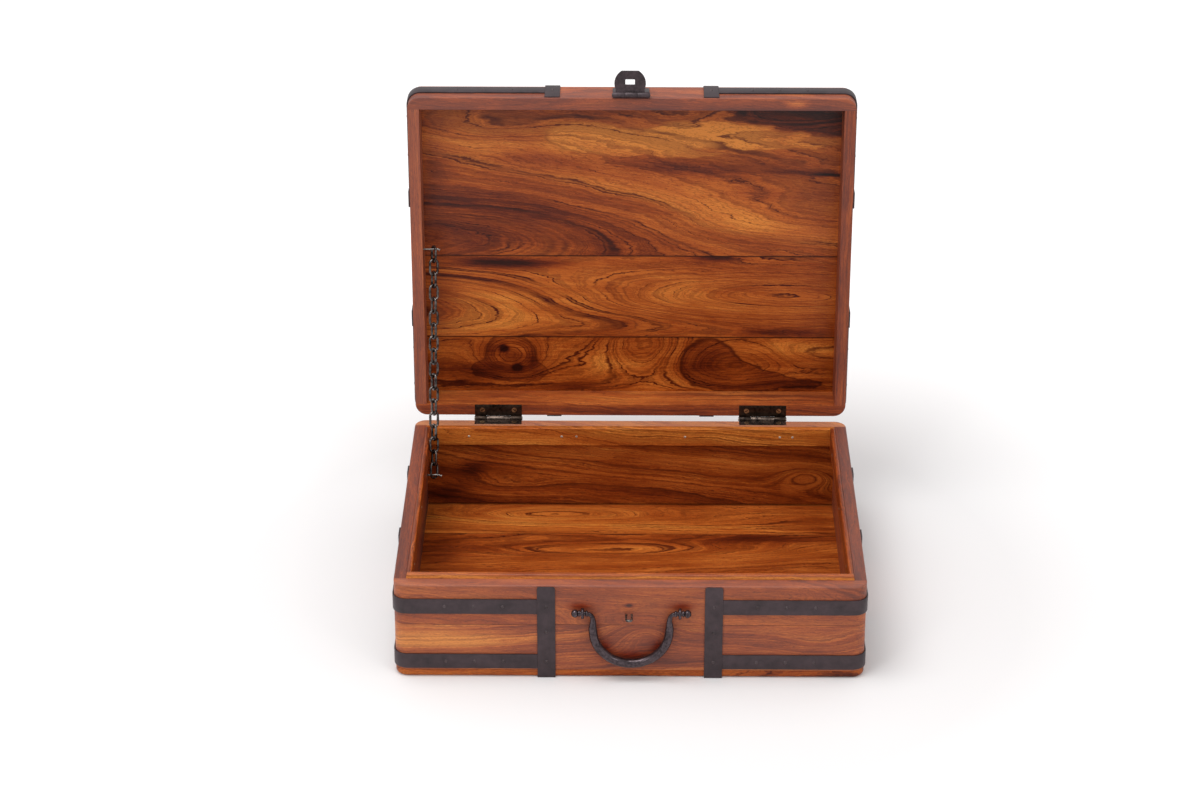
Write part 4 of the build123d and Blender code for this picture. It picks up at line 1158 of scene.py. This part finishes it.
def bent_wire(name, points, radii, segments=16):
    """A forged bar or wire: a smooth line through points, with a radius at each."""
    line = bpy.data.curves.new(name, "CURVE")
    line.dimensions = "3D"
    line.bevel_depth = 1.0
    line.bevel_resolution = segments // 4
    line.use_fill_caps = True
    line.resolution_u = 10
    spline = line.splines.new("BEZIER")
    spline.bezier_points.add(len(points) - 1)
    for knot, point, radius in zip(spline.bezier_points, points, radii):
        knot.co = point
        knot.radius = radius
        knot.handle_left_type = "AUTO"
        knot.handle_right_type = "AUTO"
    guide = bpy.data.objects.new(name, line)
    bpy.context.scene.collection.objects.link(guide)
    bpy.context.view_layer.update()
    mesh = bpy.data.meshes.new_from_object(guide.evaluated_get(bpy.context.evaluated_depsgraph_get()))
    bpy.data.objects.remove(guide)
    bpy.data.curves.remove(line)
    shape = bmesh.new()
    shape.from_mesh(mesh)
    bpy.data.meshes.remove(mesh)
    bmesh.ops.remove_doubles(shape, verts=shape.verts, dist=TOUCH)
    return shape


staple_low, staple_high = box_of("lock_staple")
staple_x = (staple_low.x + staple_high.x) / 2
staple_z = (staple_low.z + staple_high.z) / 2
half_loop = (staple_high.x - staple_low.x) / 2 - STAPLE_WIRE
nose = staple_low.y + STAPLE_BEND_WIRE
staple_line = (
    (half_loop, staple_high.y, STAPLE_WIRE),
    (half_loop, nose + half_loop + STAPLE_SHOULDER, STAPLE_WIRE),
    (half_loop, nose + half_loop, STAPLE_WIRE),
    (half_loop * STAPLE_BEND[0], nose + half_loop * STAPLE_BEND[1], STAPLE_BEND_WIRE),
)
left_leg = [((staple_x - x, y, staple_z), radius) for x, y, radius in staple_line]
right_leg = [((staple_x + x, y, staple_z), radius) for x, y, radius in staple_line]
bend = ((staple_x, nose, staple_z), STAPLE_BEND_WIRE)
staple = bent_wire("lock_staple_wire", *zip(*left_leg, bend, *reversed(right_leg)))
steel_wire = bright_metal("steel_wire", (150, 144, 140), (52, 48, 46), 0.85, 0.3)
make_piece("lock_staple_wire", staple, steel_wire, "base", "lock_staple")

# ---------------------------------------------------------------- bail handle
# A forged iron bail, thick at the grip and drawn thin at the necks, which turn out through two
# ring eyes and end in balls. The eyes are bolts driven through the front board.
HANDLE_X = 0.0012
BALL_SPREAD = 0.0543
BALL_RADIUS = 0.004
BALL_SQUASH = 0.92
COLLAR_SPREAD = 0.0502
COLLAR_RADIUS = 0.0033
COLLAR_HALF = 0.0008
COLLAR_EASE = 0.0005
EYE_SPREAD = 0.047
EYE_RING = 0.0041
EYE_WIRE = 0.0015
SHANK_RADIUS = 0.0017
SHANK_SETBACK = 0.0004
SHANK_EASE = 0.0002
BEAD_SPREAD = 0.0430
BEAD_RADIUS = 0.0031
BEAD_SQUASH = 0.6
AXLE_RADIUS = 0.0021
LEG_SPREAD = 0.037
GRIP_RADIUS = 0.00445
bail_low, bail_high = box_of("handle_bail")
BAIL_TOP = bail_high.z - BALL_RADIUS
BAIL_Y = (bail_low.y + bail_high.y) / 2
GRIP_BOTTOM = bail_low.z + GRIP_RADIUS
GRIP_CENTRE = GRIP_BOTTOM + LEG_SPREAD
grip_line = [
    (BALL_SPREAD, BAIL_TOP, AXLE_RADIUS),
    (0.0460, BAIL_TOP, AXLE_RADIUS),
    (0.0425, BAIL_TOP - 0.0002, AXLE_RADIUS),
    (0.0385, BAIL_TOP - 0.0024, AXLE_RADIUS),
    (LEG_SPREAD, BAIL_TOP - 0.0070, 0.0026),
    (LEG_SPREAD, BAIL_TOP - 0.0125, 0.0036),
    (LEG_SPREAD, GRIP_CENTRE, 0.0043),
    (0.0342, GRIP_CENTRE - 0.0142, GRIP_RADIUS),
    (0.0262, GRIP_CENTRE - 0.0262, GRIP_RADIUS),
    (0.0142, GRIP_CENTRE - 0.0342, GRIP_RADIUS),
    (0.0, GRIP_BOTTOM, GRIP_RADIUS),
]
left_half = [((HANDLE_X - x, BAIL_Y, z), radius) for x, z, radius in grip_line[:-1]]
right_half = [((HANDLE_X + x, BAIL_Y, z), radius) for x, z, radius in grip_line]
grip_points, grip_radii = zip(*left_half, *reversed(right_half))
bail = bent_wire("handle_bail_grip", grip_points, grip_radii, segments=24)


def wire_ring(ring_radius, wire_radius, sides, steps, start=0.0):
    """A closed ring of round wire, lying flat, its first section at a start angle."""
    ring = bmesh.new()
    bmesh.ops.create_circle(ring, segments=sides, radius=wire_radius)
    turn_about(ring, ring.verts, 90, "X")
    bmesh.ops.translate(ring, verts=ring.verts, vec=(ring_radius, 0, 0))
    turn_about(ring, ring.verts, start, "Z")
    bmesh.ops.spin(
        ring,
        geom=ring.verts[:] + ring.edges[:],
        cent=(0, 0, 0),
        axis=(0, 0, 1),
        angle=math.tau,
        steps=steps,
        use_merge=True,
    )
    return ring


def add_ring(shape, centre, ring_radius, wire_radius):
    """A forged ring standing across the x axis."""
    ring = wire_ring(ring_radius, wire_radius, sides=14, steps=32)
    turn_about(ring, ring.verts, 90, "Y")
    bmesh.ops.translate(ring, verts=ring.verts, vec=centre)
    pour_in(shape, ring)


def add_ball(shape, centre, radius, squash):
    """A forged ball, a little flattened along the x axis."""
    ball = bmesh.ops.create_uvsphere(shape, u_segments=24, v_segments=14, radius=radius)["verts"]
    turn_about(shape, ball, 90, "Y")
    bmesh.ops.scale(shape, vec=(squash, 1, 1), verts=ball)
    bmesh.ops.translate(shape, verts=ball, vec=centre)


EYE_BACK = box_of("handle_eyes")[1].y
eyes = bmesh.new()
for side in BOTH_SIDES:
    add_ball(bail, (HANDLE_X + side * BALL_SPREAD, BAIL_Y, BAIL_TOP), BALL_RADIUS, BALL_SQUASH)
    add_ball(bail, (HANDLE_X + side * BEAD_SPREAD, BAIL_Y, BAIL_TOP), BEAD_RADIUS, BEAD_SQUASH)
    collar_x = HANDLE_X + side * COLLAR_SPREAD
    collar_ends = [(collar_x + end * COLLAR_HALF, BAIL_Y, BAIL_TOP) for end in BOTH_SIDES]
    add_rod(bail, *collar_ends, COLLAR_RADIUS, COLLAR_EASE)
    eye_x = HANDLE_X + side * EYE_SPREAD
    add_ring(eyes, (eye_x, BAIL_Y, BAIL_TOP), EYE_RING, EYE_WIRE)
    shank_start = (eye_x, BAIL_Y + EYE_RING + SHANK_SETBACK, BAIL_TOP)
    add_rod(eyes, shank_start, (eye_x, EYE_BACK, BAIL_TOP), SHANK_RADIUS, SHANK_EASE)
bail_iron = bright_metal("bail_iron", (86, 75, 79), (46, 39, 42), 0.8, 0.18, fineness=420.0)
make_piece("handle_bail_grip", bail, bail_iron, "handle", "handle_bail")
make_piece("handle_ring_eyes", eyes, bail_iron, "base", "handle_eyes")

# ---------------------------------------------------------------- stay chain
# A short welded steel chain holds the open lid upright. Eighteen oval links, each a quarter turn
# from the one before, hang from a nail in the lid's left wall. The last is caught a little askew
# on a nail in the base.
LINK_ARC = 0.00445
LINK_WIRE = 0.0013
LINK_SLACK = 0.0003
LINK_COUNT = 18
LINK_TURNS = (60.0, -30.0)
LAST_LINK_TURN = -44.0
WELD_SWELL = 1.12
SPIN_STEPS = 24
link_nodes = [f"chain_link_{number:02d}" for number in range(1, LINK_COUNT + 1)]
link_centres = [sum(box_of(node), Vector((0, 0, 0))) / 2 for node in link_nodes]
chain_line = (link_centres[-1] - link_centres[0]).normalized()
link_pitch = (link_centres[-1] - link_centres[0]).length / (LINK_COUNT - 1)
LINK_STRAIGHT = (link_pitch + LINK_SLACK + 2 * LINK_WIRE) / 2 - LINK_ARC
chain_steel = bright_metal("chain_steel", (118, 110, 106), (34, 28, 27), 0.9, 0.2, grime=0.54)


def oval_link(centre, turn):
    """One link: a ring of wire pulled out long, with a small swelling where it was welded."""
    link = wire_ring(LINK_ARC, LINK_WIRE, sides=12, steps=SPIN_STEPS, start=180 / SPIN_STEPS)
    for side in BOTH_SIDES:
        half_ring = [vert for vert in link.verts if side * vert.co.y > 0]
        bmesh.ops.translate(link, verts=half_ring, vec=(0, side * LINK_STRAIGHT, 0))
    long_edges = [edge for edge in link.edges if edge.calc_length() > LINK_STRAIGHT]
    bmesh.ops.subdivide_edges(link, edges=long_edges, cuts=3, use_grid_fill=True)
    weld = [vert for vert in link.verts if abs(vert.co.y) < LINK_STRAIGHT / 4 and vert.co.x > 0]
    bmesh.ops.scale(
        link, vec=(WELD_SWELL, 1, WELD_SWELL), space=Matrix.Translation((-LINK_ARC, 0, 0)), verts=weld
    )
    across = Matrix.Rotation(math.radians(turn), 3, chain_line) @ Vector((1, 0, 0))
    stand = Matrix((across, chain_line, across.cross(chain_line))).transposed()
    bmesh.ops.rotate(link, verts=link.verts, cent=(0, 0, 0), matrix=stand)
    bmesh.ops.translate(link, verts=link.verts, vec=centre)
    return link


for index, node in enumerate(link_nodes):
    is_last = index == LINK_COUNT - 1
    turn = LAST_LINK_TURN if is_last else LINK_TURNS[index % 2]
    link = oval_link(link_centres[index], turn)
    make_piece(f"{node}_steel", link, chain_steel, f"link_pair_{index // 2 + 1}", node)

# ---------------------------------------------------------------- chain nails
# Two wire nails driven into the left walls, one through each end link, with their ends knocked
# over a little by the hammer.
NAIL_RADIUS = 0.0010
NAIL_GRIP = 0.006
NAIL_STRAIGHT = 0.0045
NAIL_SIDESTEP = 0.0004
NAIL_END_RADIUS = 0.0016
NAIL_END_REACH = (0.0004, 0.0006)
NAIL_END_EASE = 0.0003
link_x = link_centres[0].x
for body, far_end, droop in (("lid", 0.0058, -0.0006), ("base", 0.0074, -0.0008)):
    node = f"chain_nail_{body}"
    low, high = box_of(node)
    y = (low.y + high.y) / 2
    z = (low.z + high.z) / 2
    wire_points = [
        (low.x, y, z),
        (low.x + NAIL_GRIP, y, z),
        (link_x - NAIL_STRAIGHT, y, z),
        (link_x + NAIL_STRAIGHT, y, z),
        (link_x + far_end, y - NAIL_SIDESTEP, z + droop),
    ]
    nail = bent_wire(f"{node}_wire", wire_points, [NAIL_RADIUS] * len(wire_points))
    tip = Vector(wire_points[-1])
    run = (tip - Vector(wire_points[-2])).normalized()
    back, front = (run * reach for reach in NAIL_END_REACH)
    add_rod(nail, tip - back, tip + front, NAIL_END_RADIUS, NAIL_END_EASE)
    make_piece(f"{node}_wire", nail, steel_wire, body, node)

# ---------------------------------------------------------------- studio floor and lights
# A wide white sheet under and behind the chest that fades to pure white away from it, one soft
# lamp overhead and one at each side of the front, in even white light from all round.
SHEET_COLOUR = (0.835, 0.818, 0.818, 1)
SHEET_HALF = 6
WHITE = (1, 1, 1, 1)
FADE_START = 0.4
FADE_LENGTH = 0.45
FADE_LIGHT = 0.35
SURROUND_LIGHT = 0.78
floor_shape = bmesh.new()
bmesh.ops.create_grid(floor_shape, x_segments=1, y_segments=1, size=SHEET_HALF)
floor_mesh = bpy.data.meshes.new("floor")
floor_shape.to_mesh(floor_mesh)
floor_shape.free()
floor = bpy.data.objects.new("floor", floor_mesh)
bpy.context.scene.collection.objects.link(floor)
sheet = bpy.data.materials.new("white_sheet")
sheet.use_nodes = True
paper = sheet.node_tree
paper_shader = paper.nodes["Principled BSDF"]
paper_shader.inputs["Base Color"].default_value = SHEET_COLOUR
paper_shader.inputs["Roughness"].default_value = 0.9
paper_shader.inputs["Emission Color"].default_value = WHITE
spot = paper.nodes.new("ShaderNodeTexCoord").outputs["Object"]
span = paper.nodes.new("ShaderNodeVectorMath")
span.operation = "LENGTH"
paper.links.new(spot, span.inputs[0])
past_start = calc(paper, "SUBTRACT", span.outputs["Value"], FADE_START)
far = calc(paper, "DIVIDE", past_start, FADE_LENGTH, clamp=True)
looked_at = paper.nodes.new("ShaderNodeLightPath").outputs["Is Camera Ray"]
white_out = calc(paper, "MULTIPLY", calc(paper, "MULTIPLY", far, looked_at), FADE_LIGHT)
paper.links.new(white_out, paper_shader.inputs["Emission Strength"])
floor_mesh.materials.append(sheet)

world = bpy.data.worlds.new("studio")
bpy.context.scene.world = world
world.use_nodes = True
surround = world.node_tree
rays = surround.nodes.new("ShaderNodeLightPath")
seen = calc(surround, "MAXIMUM", rays.outputs["Is Camera Ray"], rays.outputs["Is Transmission Ray"])
backdrop = surround.nodes["Background"]
backdrop.inputs["Color"].default_value = WHITE
strength = calc(surround, "MULTIPLY_ADD", seen, 1.0 - SURROUND_LIGHT, SURROUND_LIGHT)
surround.links.new(strength, backdrop.inputs["Strength"])


def softbox(name, place, target, size, power):
    """A square soft light aimed at a point."""
    lamp = bpy.data.lights.new(name, "AREA")
    lamp.size = size
    lamp.energy = power
    light = bpy.data.objects.new(name, lamp)
    light.location = place
    light.rotation_euler = (Vector(target) - Vector(place)).to_track_quat("-Z", "Y").to_euler()
    bpy.context.scene.collection.objects.link(light)


softbox("overhead_softbox", (-0.5, -0.35, 2.0), (0, 0, 0.2), 1.2, 22)
softbox("left_softbox", (-1.3, -1.9, 1.7), (0, 0, 0.1), 0.45, 4)
softbox("right_softbox", (1.5, -1.9, 1.7), (0, 0, 0.1), 0.45, 4)

# ---------------------------------------------------------------- camera
# A long lens at eye level of someone standing in front of the chest and looking down into it,
# a hair to the left of its middle.
CAMERA_PLACE = (-0.00472, -2.81618, 1.58219)
CAMERA_DOWN = 25.9265
CAMERA_ROUND = 0.527
CAMERA_LENS = 94.213
FILM_WIDTH = 36
camera_data = bpy.data.cameras.new("camera")
camera_data.lens = CAMERA_LENS
camera_data.sensor_width = FILM_WIDTH
camera = bpy.data.objects.new("camera", camera_data)
camera.location = CAMERA_PLACE
camera.rotation_euler = (math.radians(90 - CAMERA_DOWN), 0, math.radians(CAMERA_ROUND))
bpy.context.scene.collection.objects.link(camera)
bpy.context.scene.camera = camera
bpy.context.scene.view_settings.view_transform = "Standard"

base_form.free()
lid_form.free()
